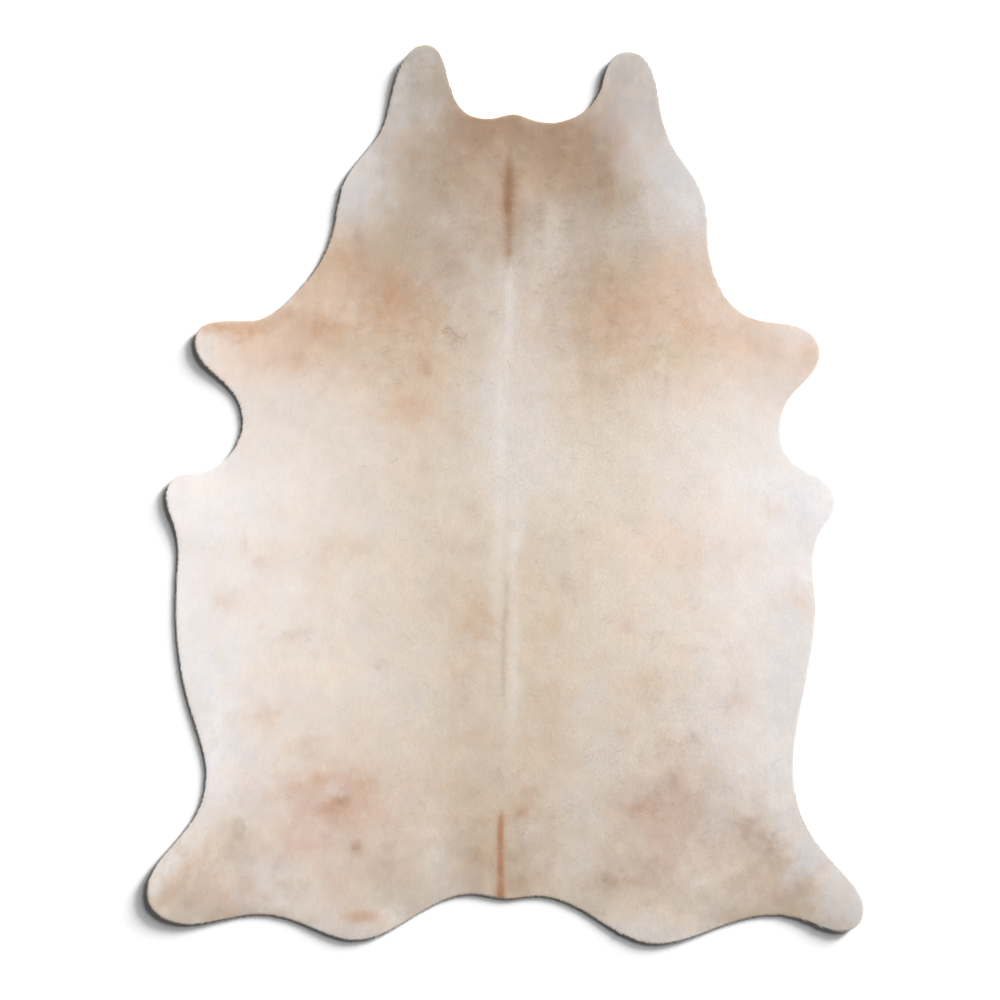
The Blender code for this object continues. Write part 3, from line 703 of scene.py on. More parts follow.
# The studio: a wide white floor, an even surrounding, and two wide soft lights from the upper
# right, one low and one high. Direction in degrees from +X, height over the horizon, strength, and
# how wide each looks.
FLOOR_HALF = 40.0
FLOOR_GAP = 0.2 * MM
FLOOR_TONE = (252, 252, 252)
FLOOR_ROUGHNESS = 0.9
WORLD_LIGHT = 0.08
Lamp = namedtuple("Lamp", "name azimuth elevation strength width")
LAMPS = (
    Lamp("low key", azimuth=42, elevation=11.5, strength=9.4, width=12),
    Lamp("high key", azimuth=42, elevation=24, strength=3.0, width=30),
)


def linear(tone):
    """A screen colour as linear light."""
    share = np.array(tone) / 255
    return np.where(share <= 0.04045, share / 12.92, ((share + 0.055) / 1.055) ** 2.4)


def smooth_step(value, low, high):
    """Nought below low, one above high, and an even rise between."""
    share = np.clip((value - low) / (high - low), 0, 1)
    return share * share * (3 - 2 * share)


@functools.lru_cache(maxsize=NOISE_KEPT)
def slopes(seed):
    """Two tables of random directions' cosines and sines."""
    angles = np.random.default_rng(seed).uniform(0, 2 * math.pi, NOISE_SIDE * NOISE_SIDE)
    return np.cos(angles), np.sin(angles)


def noise(points, seed):
    """Smooth uneven numbers between about -1 and 1, one bump to a unit square."""
    cosines, sines = slopes(seed)
    x, y = points[:, 0], points[:, 1]
    left, low = np.floor(x), np.floor(y)
    x, y = x - left, y - low
    left, low = left.astype(int) % NOISE_SIDE, low.astype(int) % NOISE_SIDE
    right, high = (left + 1) % NOISE_SIDE, (low + 1) % NOISE_SIDE
    fade_x = x * x * x * (x * (x * 6 - 15) + 10)
    fade_y = y * y * y * (y * (y * 6 - 15) + 10)

    def rise(column, row, across, along):
        corner = column * NOISE_SIDE + row
        return cosines[corner] * across + sines[corner] * along

    below = rise(left, low, x, y) * (1 - fade_x) + rise(right, low, x - 1, y) * fade_x
    above = rise(left, high, x, y - 1) * (1 - fade_x) + rise(right, high, x - 1, y - 1) * fade_x
    return (below * (1 - fade_y) + above * fade_y) * math.sqrt(2)


def clouds(points, size, seed, octaves=4):
    """Uneven numbers with bumps of a size and ever finer ones on them."""
    total = np.zeros(len(points))
    for octave in range(octaves):
        total += noise(points / size * 2**octave + seed, seed + octave) * FINER**octave
    return total


def patch_cover(points, patch, seed):
    """The points that a patch reaches, and how much it covers each of them."""
    turn = math.radians(patch.turn)
    x = points[:, 0] - patch.x * MM
    y = points[:, 1] - patch.y * MM
    across = (x * math.cos(turn) + y * math.sin(turn)) / (patch.across * MM)
    along = (y * math.cos(turn) - x * math.sin(turn)) / (patch.along * MM)
    plain = np.hypot(across, along)
    rows = np.flatnonzero(plain < FADE_TO)
    near = points[rows]
    size = math.sqrt(patch.across * patch.along) * MM
    away = plain[rows] + patch.ragged * clouds(near, size * RAGGED_SIZE, seed)
    cover = 1 / (1 + np.clip(away, 0, None) ** (2 * patch.edge))
    grain = patch.grain * MM if patch.grain else size * BREAK_SHARE + BREAK_LEAST
    uneven = clouds(near, grain, seed + BREAK_SEED, octaves=BREAK_OCTAVES)
    breaks = 1 + patch.broken * BREAK_DEPTH * np.tanh(BREAK_EDGE * uneven)
    fade = 1 - smooth_step(plain[rows], FADE_FROM, FADE_TO)
    return rows, np.clip(cover * fade * patch.strength * breaks, 0, 1)


def stripe_cover(points, stripe, seed):
    """The points that a stripe reaches, and how much it covers each of them."""
    knots = stripe.knots[::-1]
    heights = [knot.y * MM for knot in knots]
    rows = np.flatnonzero((points[:, 1] > heights[0]) & (points[:, 1] < heights[-1])
                          & (np.abs(points[:, 0]) < STRIPE_REACH))
    near = points[rows]
    middle, half, strength = (np.interp(near[:, 1], heights, column) for column in (
        [knot.x * MM for knot in knots], [knot.half * MM for knot in knots],
        [knot.strength for knot in knots]))
    strokes = np.stack((near[:, 0] / STROKE_WIDTH, near[:, 1] / STROKE_LENGTH), axis=1)
    frayed = stripe.fray * MM * clouds(strokes, 1, seed)
    away = np.abs(near[:, 0] - middle + frayed) / half
    return rows, strength / (1 + away ** (2 * stripe.sharp))


def hair_colours_and_painted_light(points):
    """The colour of the hair at each point of the hide, in linear light, with the painted shade
    and painted light of the patches marked so.
    """
    pale = smooth_step(np.abs(points[:, 0]), PALE_FROM, PALE_TO)[:, None]
    colour = linear(BACK) * (1 - pale) + linear(BELLY) * pale
    for patch in PATCHES:
        rows, cover = patch_cover(points, patch, zlib.crc32(patch.name.encode()) % NOISE_SEEDS)
        colour[rows] += (linear(patch.tone) - colour[rows]) * cover[:, None]
    for stripe in STRIPES:
        rows, cover = stripe_cover(points, stripe, zlib.crc32(stripe.name.encode()) % NOISE_SEEDS)
        colour[rows] += (linear(stripe.tone) - colour[rows]) * cover[:, None]
    for number, cloud in enumerate(CLOUDS):
        light = cloud.light * clouds(points, cloud.size * MM, LIGHT_SEED + number)
        warmth = cloud.warmth * clouds(points, cloud.size * MM, WARMTH_SEED + number)
        colour *= 1 + light[:, None] + warmth[:, None] * np.array(WARM)
    return colour * COAT_LIGHT


def packed_mesh():
    """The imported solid's corners and triangles, with the corners at one place joined."""
    mesh = bmesh.new()
    mesh.from_mesh(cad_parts["hide"].data)
    bmesh.ops.remove_doubles(mesh, verts=mesh.verts[:], dist=WELD)
    mesh.normal_update()
    return mesh


def outline_of(mesh):
    """The foot of the cut edge, as an anticlockwise ring of points."""
    after = {}
    for face in mesh.faces:
        if abs(face.normal.z) > UPRIGHT:
            continue
        for loop in face.loops:
            other = loop.link_loop_radial_next.face
            if other.normal.z < FLESH_SIDE_DOWN:
                after[loop.vert] = loop.link_loop_next.vert
    first = next(iter(after))
    ring = [first]
    while after[ring[-1]] is not first:
        ring.append(after[ring[-1]])
    return np.array([vert.co.xy for vert in ring])


def signed_area(ring):
    """Twice the area inside a ring, above nought if it runs anticlockwise."""
    after = np.roll(ring, -1, axis=0)
    return (ring[:, 0] * after[:, 1] - ring[:, 1] * after[:, 0]).sum()


def smooth_ring(ring, spacing):
    """A smooth curve through the ring's points, cut into even pieces."""
    before = np.roll(ring, 1, axis=0)
    after = np.roll(ring, -1, axis=0)
    beyond = np.roll(ring, -2, axis=0)
    parts = []
    for share in np.arange(CURVE_STEPS) / CURVE_STEPS:
        cubic = -before + 3 * ring - 3 * after + beyond
        square = 2 * before - 5 * ring + 4 * after - beyond
        parts.append(ring + 0.5 * share * ((after - before) + share * (square + share * cubic)))
    fine = np.stack(parts, axis=1).reshape(-1, 2)
    closed = np.concatenate((fine, fine[:1]))
    length = np.concatenate(((0,), np.cumsum(np.linalg.norm(np.diff(closed, axis=0), axis=1))))
    places = np.arange(0, length[-1] - spacing / 2, length[-1] / round(length[-1] / spacing))
    return np.stack([np.interp(places, length, closed[:, axis]) for axis in (0, 1)], axis=1)


def outward(ring):
    """The direction square to the ring at each of its points, away from the hide."""
    along = np.roll(ring, -1, axis=0) - np.roll(ring, 1, axis=0)
    along = along / np.linalg.norm(along, axis=1)[:, None]
    return np.stack((along[:, 1], -along[:, 0]), axis=1)


class Field:
    """Values on an even grid over the hide, blended between the grid's places."""

    def __init__(self, step):
        self.step = step
        self.low = np.array(CAD_BOX[0])[:2] - FIELD_MARGIN
        high = np.array(CAD_BOX[1])[:2] + FIELD_MARGIN
        self.x = np.arange(self.low[0], high[0] + step, step)
        self.y = np.arange(self.low[1], high[1] + step, step)
        self.grid = None

    def places(self):
        """Every place of the grid."""
        x, y = np.meshgrid(self.x, self.y, indexing="ij")
        return np.stack((x.ravel(), y.ravel()), axis=1)

    def fill(self, values):
        """Takes a value, or a row of values, for every place."""
        self.grid = values.reshape(len(self.x), len(self.y), -1)
        return self

    def at(self, points):
        """The values at each point."""
        place = (points - self.low) / self.step
        cell = np.clip(place.astype(int), 0, (len(self.x) - 2, len(self.y) - 2))
        part = (place - cell)[:, :, None]
        x, y = cell[:, 0], cell[:, 1]
        left = self.grid[x, y] * (1 - part[:, 1]) + self.grid[x, y + 1] * part[:, 1]
        right = self.grid[x + 1, y] * (1 - part[:, 1]) + self.grid[x + 1, y + 1] * part[:, 1]
        return (left * (1 - part[:, 0]) + right * part[:, 0]).squeeze()


def height_field(known, heights):
    """A smooth height over the hide, from the heights of scattered points."""
    field = Field(HEIGHT_STEP)
    values = []
    for place in field.places():
        away = ((known - place) ** 2).sum(axis=1)
        weight = np.exp(-(away - away.min()) / (2 * SMOOTHING**2))
        values.append((weight * heights).sum() / weight.sum())
    return field.fill(np.array(values))


def packed_fields(mesh):
    """How high the flesh side lies, and how thick the hide is away from the rim."""
    below = {corner for face in mesh.faces if face.normal.z < FLESH_SIDE_DOWN
             for corner in face.verts}
    flesh = np.array([corner.co for corner in below])
    lift = height_field(flesh[:, :2], flesh[:, 2])
    top = np.array([corner.co for corner in mesh.verts if corner not in below])
    thick = top[:, 2] - lift.at(top[:, :2])
    full = thick > np.median(thick) - RIM_SLOPE
    return lift, height_field(top[full, :2], thick[full])


def is_inside(points, ring):
    """True for each point that lies within the ring."""
    inside = np.zeros(len(points), dtype=bool)
    start = ring
    end = np.roll(ring, -1, axis=0)
    order = np.argsort(points[:, 1], kind="stable")
    heights = points[order, 1]
    for (x0, y0), (x1, y1) in zip(start, end):
        if y0 == y1:
            continue
        first, last = np.searchsorted(heights, sorted((y0, y1)), side="left")
        rows = order[first:last]
        crossing = x0 + (points[rows, 1] - y0) * (x1 - x0) / (y1 - y0)
        inside[rows] ^= points[rows, 0] < crossing
    return inside


def near_ring(points, ring, distance):
    """True for each point that lies nearer to one of the ring's points than a distance."""
    near = np.zeros(len(points), dtype=bool)
    order = np.argsort(points[:, 1], kind="stable")
    heights = points[order, 1]
    for x, y in ring:
        first, last = np.searchsorted(heights, (y - distance, y + distance))
        rows = order[first:last]
        near[rows] |= np.hypot(points[rows, 0] - x, points[rows, 1] - y) < distance
    return near


def staggered(ring, spacing):
    """Evenly staggered points inside the ring, clear of it."""
    low = ring.min(axis=0)
    high = ring.max(axis=0)
    rows = []
    for number, y in enumerate(np.arange(low[1], high[1], spacing * math.sqrt(3) / 2)):
        x = np.arange(low[0] + (number % 2) * spacing / 2, high[0], spacing)
        rows.append(np.stack((x, np.full(len(x), y)), axis=1))
    points = np.concatenate(rows)
    points = points[is_inside(points, ring)]
    return points[~near_ring(points, ring, spacing * RING_CLEAR)]


def filled(ring, spacing):
    """The ring filled with even triangles: points, the ring's first, and triangles."""
    points = np.concatenate((ring, staggered(ring, spacing)))
    edges = [(index, (index + 1) % len(ring)) for index in range(len(ring))]
    result = delaunay_2d_cdt([tuple(point) for point in points], edges, [], 1, WELD)
    return np.array([tuple(point) for point in result[0]]), np.array(result[2])


# Long soft unevenness of the lying hide and finer unevenness of the coat: size across the hair,
# size along it, and height.
Wave = namedtuple("Wave", "across along height")
WAVES = (
    Wave(across=160, along=210, height=0.22),
    Wave(across=60, along=70, height=0.10),
    Wave(across=34, along=12, height=0.035),
)
WAVE_SHIFT = 7
WAVE_SEED = 900

# How much the flow of the hair widens towards the ears, for each metre.
FLOW_SPREAD = 0.35


def flow_places(points):
    """Where each point lies across and along the lie of the hair, in metres."""
    across = points[:, 0] * np.exp(FLOW_SPREAD * points[:, 1])
    return np.stack((across, points[:, 1]), axis=1)


def relief(points):
    """Unevenness of the hair side."""
    flow = flow_places(points)
    total = np.zeros(len(points))
    for number, wave in enumerate(WAVES):
        scaled = flow / (np.array((wave.across, wave.along)) * MM)
        total += wave.height * MM * noise(scaled + WAVE_SHIFT * number, WAVE_SEED + number)
    return total


def band(lower, upper):
    """Quads between two rings of corner numbers, seen from outside."""
    return np.stack((lower, np.roll(lower, -1), np.roll(upper, -1), upper), axis=1)


class Hide:
    """The hide's shape and colours, for everything that lies on it."""

    def __init__(self):
        packed = packed_mesh()
        self.rim = smooth_ring(outline_of(packed), RIM_SPACING)
        if signed_area(self.rim) < 0:
            self.rim = self.rim[::-1]
        self.out = outward(self.rim)
        self.lift, self.thick = packed_fields(packed)
        packed.free()
        tones = Field(TONE_STEP)
        self.tones = tones.fill(hair_colours_and_painted_light(tones.places()))
        steep = Field(SLOPE_STEP)
        places = steep.places()
        long = self.lift.at(places) + self.thick.at(places)
        heights = self.surface(places) - long * (1 - LONG_SLOPES)
        heights = heights.reshape(len(steep.x), len(steep.y))
        self.slopes = steep.fill(np.stack(np.gradient(heights, SLOPE_STEP), axis=2))

    def ring(self, inset):
        """The outline moved inwards."""
        return self.rim - self.out * inset

    def colour(self, points):
        """The hair's colour at each point, with its painted shade and painted light."""
        return self.tones.at(points)

    def surface(self, points):
        """Height of the hair side away from the rim."""
        return self.lift.at(points) + self.thick.at(points) + relief(points)

    def inset_of(self, points, limit):
        """How far each point lies from the outline, up to a limit, and which rim point is the
        nearest."""
        gap = np.full(len(points), limit)
        nearest = np.zeros(len(points), dtype=int)
        order = np.argsort(points[:, 1], kind="stable")
        heights = points[order, 1]
        for number, (x, y) in enumerate(self.rim):
            first, last = np.searchsorted(heights, (y - limit, y + limit))
            rows = order[first:last]
            away = np.hypot(points[rows, 0] - x, points[rows, 1] - y)
            closer = away < gap[rows]
            gap[rows[closer]] = away[closer]
            nearest[rows[closer]] = number
        return gap, nearest

    def hair_top(self, points):
        """Height of the hair side, the slope at the rim with it."""
        rings = [ring for ring in EDGE_RINGS if ring.of == "all"]
        gap = self.inset_of(points, EDGE_RINGS[-1].inset * MM)[0]
        share = np.interp(gap, [ring.inset * MM for ring in rings],
                          [ring.height for ring in rings])
        lift = self.lift.at(points)
        return lift + (self.surface(points) - lift) * share

    def facing(self, points):
        """The direction square to the hair side at each point, without the rim's own slope."""
        slope = self.slopes.at(points)
        square = np.column_stack((-slope, np.ones(len(points))))
        return square / np.linalg.norm(square, axis=1)[:, None]


def build_hide(shape):
    """The hide as one closed sheet: flesh side, cut edge and hair side."""
    size = len(shape.rim)
    foot, foot_faces = filled(shape.ring(FOOT_INSET), FLESH_SPACING)
    places = [foot]
    heights = [shape.lift.at(foot)]
    rings = [np.arange(size)]
    count = len(foot)
    for ring in EDGE_RINGS[:-1]:
        at = shape.ring(ring.inset * MM)
        tall = LEATHER if ring.of == "leather" else shape.thick.at(at)
        places.append(at)
        heights.append(shape.lift.at(at) + ring.height * tall)
        rings.append(np.arange(count, count + size))
        count += size
    top, top_faces = filled(shape.ring(EDGE_RINGS[-1].inset * MM), HAIR_SPACING)
    places.append(top)
    heights.append(shape.surface(top))
    rings.append(np.arange(count, count + size))
    corners = np.column_stack((np.concatenate(places), np.concatenate(heights)))
    quads = np.concatenate([band(low, high) for low, high in zip(rings, rings[1:])])
    triangles = np.concatenate((foot_faces[:, ::-1], top_faces + count))
    slots = face_slots(size, len(foot_faces), len(top_faces))
    return corners, quads, triangles, slots


# The bands of cut leather, from the foot up, and the numbers of the sheet's materials.
CUT_BANDS = 2
HAIR_SLOT = 0
CUT_SLOT = 1
FLESH_SLOT = 2


def face_slots(size, below, above):
    """Which material each face has."""
    bands = np.repeat(np.arange(len(EDGE_RINGS)), size)
    return np.concatenate((np.where(bands < CUT_BANDS, CUT_SLOT, HAIR_SLOT),
                           np.full(below, FLESH_SLOT), np.full(above, HAIR_SLOT)))


def make_mesh(name, corners, quads, triangles, slots):
    """A mesh from arrays."""
    data = bpy.data.meshes.new(name)
    data.vertices.add(len(corners))
    data.vertices.foreach_set("co", corners.ravel())
    data.loops.add(quads.size + triangles.size)
    data.loops.foreach_set("vertex_index", np.concatenate((quads.ravel(), triangles.ravel())))
    data.polygons.add(len(quads) + len(triangles))
    sizes = np.concatenate((np.full(len(quads), 4), np.full(len(triangles), 3)))
    data.polygons.foreach_set("loop_start", np.concatenate(((0,), np.cumsum(sizes)[:-1])))
    data.polygons.foreach_set("use_smooth", np.full(len(sizes), True))
    data.polygons.foreach_set("material_index", slots)
    data.update(calc_edges=True)
    data.validate()
    return data


def add_colours(data, colours):
    """Stores the hair's colour, painted shade and painted light included, on every corner."""
    layer = data.color_attributes.new("hair_tone", "FLOAT_COLOR", "POINT")
    layer.data.foreach_set("color", np.column_stack((colours, np.ones(len(colours)))).ravel())


def add_flow(data, corners):
    """Stores where every corner lies in the flow of the hair."""
    flow = flow_places(corners[:, :2])
    layer = data.uv_layers.new(name="flow")
    index = np.zeros(len(data.loops), dtype=int)
    data.loops.foreach_get("vertex_index", index)
    layer.uv.foreach_set("vector", flow[index].ravel())


# The chart of a piece, for a picture of its colours: on the sheet, the height of the strip that
# holds the rim, and the gap between its two sides.
CHART = "OFBake"
CHART_STRIP = 0.04
CHART_GAP = 0.004


def plan_of(corners):
    """Where every corner lies in its piece's box, seen from above, from 0 to 1."""
    low, high = corners[:, :2].min(axis=0), corners[:, :2].max(axis=0)
    return (corners[:, :2] - low) / (high - low)


def sheet_chart(corners, quads, triangles, below):
    """A chart for every face corner of the sheet: the rim as a strip along the foot of the chart,
    the hair side on the left above it and the flesh side on the right."""
    size = len(quads) // len(EDGE_RINGS)
    start = np.arange(size)
    along = np.stack((start, start + 1, start + 1, start), axis=1) / size
    up = (np.arange(len(EDGE_RINGS))[:, None, None] + np.array((0, 0, 1, 1))) / len(EDGE_RINGS)
    rim = np.stack(np.broadcast_arrays(along[None], up * CHART_STRIP), axis=3).reshape(-1, 2)
    flat = plan_of(corners) * (0.5 - CHART_GAP, 1 - CHART_STRIP - CHART_GAP)
    flat[:, 1] += CHART_STRIP + CHART_GAP
    flesh = flat[triangles[:below].ravel()] + (0.5 + CHART_GAP, 0)
    return np.concatenate((rim, flesh, flat[triangles[below:].ravel()]))


def add_chart(data, places):
    """Stores the chart's place for every face corner."""
    data.uv_layers.new(name=CHART).uv.foreach_set("vector", places.ravel())


def node(tree, kind, **values):
    """A shader node with its settings."""
    made = tree.nodes.new(kind)
    for key, value in values.items():
        setattr(made, key, value)
    return made


# The hair's finish. Streaks and locks along it: size across and along in millimetres, detail, and
# how dark and light they are.
HAIR_ROUGHNESS = 0.75
HAIR_SHINE = 0.2
HAIR_SHEEN = 0.06
HAIR_SHEEN_ROUGHNESS = 0.5
Streak = namedtuple("Streak", "across along detail dark light")
# The fine streaks are darker where their bump sinks and lighter where it rises: partly the hair's own
# tone, partly painted shade and painted light. The locks change only the tone.
STREAKS = Streak(across=1.3, along=16, detail=2.0, dark=0.95, light=1.04)
LOCKS = Streak(across=7, along=40, detail=3.0, dark=0.975, light=1.02)
STREAK_DEPTH = 0.4
STREAK_STRENGTH = 0.35


def hair_surface(name):
    """A material with the finish of the hair, and its tone with painted shade and light, stored on the
    mesh.
    """
    material = bpy.data.materials.new(name)
    material.use_nodes = True
    tree = material.node_tree
    surface = tree.nodes["Principled BSDF"]
    surface.inputs["Roughness"].default_value = HAIR_ROUGHNESS
    surface.inputs["Specular IOR Level"].default_value = HAIR_SHINE
    surface.inputs["Sheen Weight"].default_value = HAIR_SHEEN
    surface.inputs["Sheen Roughness"].default_value = HAIR_SHEEN_ROUGHNESS
    tone = node(tree, "ShaderNodeAttribute", attribute_name="hair_tone")
    return material, tree, surface, tone


def hair_material():
    """The hair side under the tufts: their tone, with fine streaks along the hair."""
    material, tree, surface, tone = hair_surface("hair")
    flow = node(tree, "ShaderNodeUVMap", uv_map="flow")
    streaks = streak_noise(tree, flow, STREAKS)
    both = node(tree, "ShaderNodeMath", operation="MULTIPLY")
    for socket, made, look in ((0, streaks, STREAKS), (1, streak_noise(tree, flow, LOCKS), LOCKS)):
        light = spread_noise(tree, made, look.dark, look.light)
        tree.links.new(light.outputs["Result"], both.inputs[socket])
    # The tone times the streaks' painted shade and light and the locks' tone.
    shade = node(tree, "ShaderNodeVectorMath", operation="SCALE")
    tree.links.new(tone.outputs["Color"], shade.inputs[0])
    tree.links.new(both.outputs["Value"], shade.inputs["Scale"])
    tree.links.new(shade.outputs["Vector"], surface.inputs["Base Color"])
    bump = node(tree, "ShaderNodeBump")
    bump.inputs["Strength"].default_value = STREAK_STRENGTH
    bump.inputs["Distance"].default_value = STREAK_DEPTH * MM
    tree.links.new(streaks.outputs["Fac"], bump.inputs["Height"])
    tree.links.new(bump.outputs["Normal"], surface.inputs["Normal"])
    return material


def streak_noise(tree, flow, look):
    """Noise drawn out along the hair."""
    scale = node(tree, "ShaderNodeMapping")
    scale.inputs["Scale"].default_value = (1 / (look.across * MM), 1 / (look.along * MM), 1.0)
    tree.links.new(flow.outputs["UV"], scale.inputs["Vector"])
    made = node(tree, "ShaderNodeTexNoise", noise_dimensions="2D")
    made.inputs["Scale"].default_value = 1.0
    made.inputs["Detail"].default_value = look.detail
    tree.links.new(scale.outputs["Vector"], made.inputs["Vector"])
    return made


# Leather without hair: its tone, a second tone in clouds of a size, and its nap: the size of it, how
# deep it looks and how much painted shade darkens its hollows.
Leather = namedtuple("Leather", "name tone cloud cloud_size nap_size nap_depth hollows roughness sheen")
CUT_LEATHER = Leather("cut leather", tone=(216, 209, 198), cloud=(188, 178, 163), cloud_size=14,
                      nap_size=0.7, nap_depth=0.12, hollows=0.86, roughness=0.85, sheen=0.0)
FLESH_SIDE = Leather("flesh side", tone=(227, 221, 209), cloud=(203, 192, 175), cloud_size=110,
                     nap_size=2.2, nap_depth=0.3, hollows=0.93, roughness=0.95, sheen=0.25)
CLOUD_DETAIL = 5.0
NAP_DETAIL = 3.0
NOISE_LOW = 0.32
NOISE_HIGH = 0.68


def leather_noise(tree, size, detail):
    """Noise that is fixed to the piece, spread from 0 to 1."""
    place = node(tree, "ShaderNodeTexCoord")
    made = node(tree, "ShaderNodeTexNoise")
    made.inputs["Scale"].default_value = 1 / (size * MM)
    made.inputs["Detail"].default_value = detail
    tree.links.new(place.outputs["Object"], made.inputs["Vector"])
    return spread_noise(tree, made, 0.0, 1.0)


def spread_noise(tree, made, low, high):
    """A noise's middle range spread between two values."""
    spread = node(tree, "ShaderNodeMapRange")
    tree.links.new(made.outputs["Fac"], spread.inputs["Value"])
    for key, value in (("From Min", NOISE_LOW), ("From Max", NOISE_HIGH), ("To Min", low),
                       ("To Max", high)):
        spread.inputs[key].default_value = value
    return spread


def leather_material(look):
    """Bare leather with soft clouds, a fine nap and painted shade in the nap's hollows."""
    material = bpy.data.materials.new(look.name)
    material.use_nodes = True
    tree = material.node_tree
    surface = tree.nodes["Principled BSDF"]
    cloud = leather_noise(tree, look.cloud_size, CLOUD_DETAIL)
    nap = leather_noise(tree, look.nap_size, NAP_DETAIL)
    mixed = node(tree, "ShaderNodeMix", data_type="RGBA")
    tree.links.new(cloud.outputs["Result"], mixed.inputs["Factor"])
    mixed.inputs["A"].default_value = (*linear(look.tone), 1.0)
    mixed.inputs["B"].default_value = (*linear(look.cloud), 1.0)
    # Painted shade: the nap's low parts, where the bump sinks, are darkened.
    shade = node(tree, "ShaderNodeMapRange")
    tree.links.new(nap.outputs["Result"], shade.inputs["Value"])
    shade.inputs["To Min"].default_value = look.hollows
    darker = node(tree, "ShaderNodeVectorMath", operation="SCALE")
    tree.links.new(mixed.outputs["Result"], darker.inputs[0])
    tree.links.new(shade.outputs["Result"], darker.inputs["Scale"])
    tree.links.new(darker.outputs["Vector"], surface.inputs["Base Color"])
    bump = node(tree, "ShaderNodeBump")
    bump.inputs["Distance"].default_value = look.nap_depth * MM
    tree.links.new(nap.outputs["Result"], bump.inputs["Height"])
    tree.links.new(bump.outputs["Normal"], surface.inputs["Normal"])
    surface.inputs["Roughness"].default_value = look.roughness
    surface.inputs["Sheen Weight"].default_value = look.sheen
    return material


def plain_material(name, tone, roughness):
    """One even colour."""
    material = bpy.data.materials.new(name)
    material.use_nodes = True
    surface = material.node_tree.nodes["Principled BSDF"]
    surface.inputs["Base Color"].default_value = (*linear(tone), 1.0)
    surface.inputs["Roughness"].default_value = roughness
    return material


# The coat: short tufts that lie along the hair. Spacing, how far each may stray from its place,
# length, width, how far the ridge bulges, height of the tip over the hide, how deep the root
# sits, how much painted shade darkens the root and painted light lightens the tip, and how much
# tufts differ in lightness and direction.
Tuft = namedtuple("Tuft", "spacing stray long wide ridge tip root dark light vary turn")
COAT = Tuft(spacing=4.2, stray=0.45, long=(11, 18), wide=(1.6, 2.8), ridge=0.015, tip=(0.02, 0.08),
            root=0.05, dark=0.99, light=1.005, vary=0.011, turn=9)
RUFFLE_HAIR = COAT._replace(long=(4, 7), wide=(1.4, 2.3), ridge=0.045, tip=(0.07, 0.12), vary=0.02,
                            turn=15)
RIM_GAP = 2.0 * MM
RIDGE_AT = 0.4
COAT_SEED = 20

# A tuft's corners are the left and right of its root, its ridge and its tip, and its faces the
# back, the left, the right and the underside.
TUFT_CORNERS = 4
TUFT_FACES = ((0, 1, 2), (0, 2, 3), (1, 3, 2), (0, 3, 1))

# How far hair may stick out over the rim, and the least share of its length that counts as
# pointing there.
OVERHANG = 1.2 * MM
TOWARDS_LEAST = 0.1
COAT_PIECES = ("head", "shoulders", "ribs", "loin", "rump")

# How the hair lies: it runs from the head to the tail and outwards over the sides, and along the
# legs and ears to their tips. Place, reach, direction in degrees from +X, and weight.
Lie = namedtuple("Lie", "name x y across along heading weight")
LIES = (
    Lie("left fore leg", -720, 360, 150, 90, 185, 3),
    Lie("right fore leg", 720, 350, 150, 90, -5, 3),
    Lie("left elbow", -800, 0, 90, 70, 200, 2),
    Lie("right elbow", 780, -10, 90, 70, -20, 2),
    Lie("left hind leg", -800, -960, 130, 120, 225, 4),
    Lie("right hind leg", 800, -960, 130, 120, -45, 4),
    Lie("left ear", -200, 1060, 100, 130, 95, 5),
    Lie("right ear", 300, 1050, 100, 130, 85, 5),
)
DOWN = -90
ASIDE = 90
SPREAD_AT_SPINE = 6
SPREAD_AT_BELLY = 42
SPREAD_LATE = 1.3
SWIRL = 14
SWIRL_SIZE = 90 * MM
SWIRL_SEED = 700


def lie_of_hair(points):
    """The direction of the hair at each point, in radians from +X."""
    side = np.sign(points[:, 0])
    out = np.clip(np.abs(points[:, 0]) / PALE_TO, 0, 1)
    spread = SPREAD_AT_SPINE + (SPREAD_AT_BELLY - SPREAD_AT_SPINE) * out**SPREAD_LATE
    angle = np.radians(DOWN + side * spread)
    run = np.stack((np.cos(angle), np.sin(angle)), axis=1)
    for lie in LIES:
        across = (points[:, 0] - lie.x * MM) / (lie.across * MM)
        along = (points[:, 1] - lie.y * MM) / (lie.along * MM)
        weight = lie.weight * np.exp(-(across**2) - along**2)
        heading = math.radians(lie.heading)
        run += weight[:, None] * np.array((math.cos(heading), math.sin(heading)))
    swirl = math.radians(SWIRL) * clouds(points, SWIRL_SIZE, SWIRL_SEED, octaves=3)
    return np.arctan2(run[:, 1], run[:, 0]) + swirl


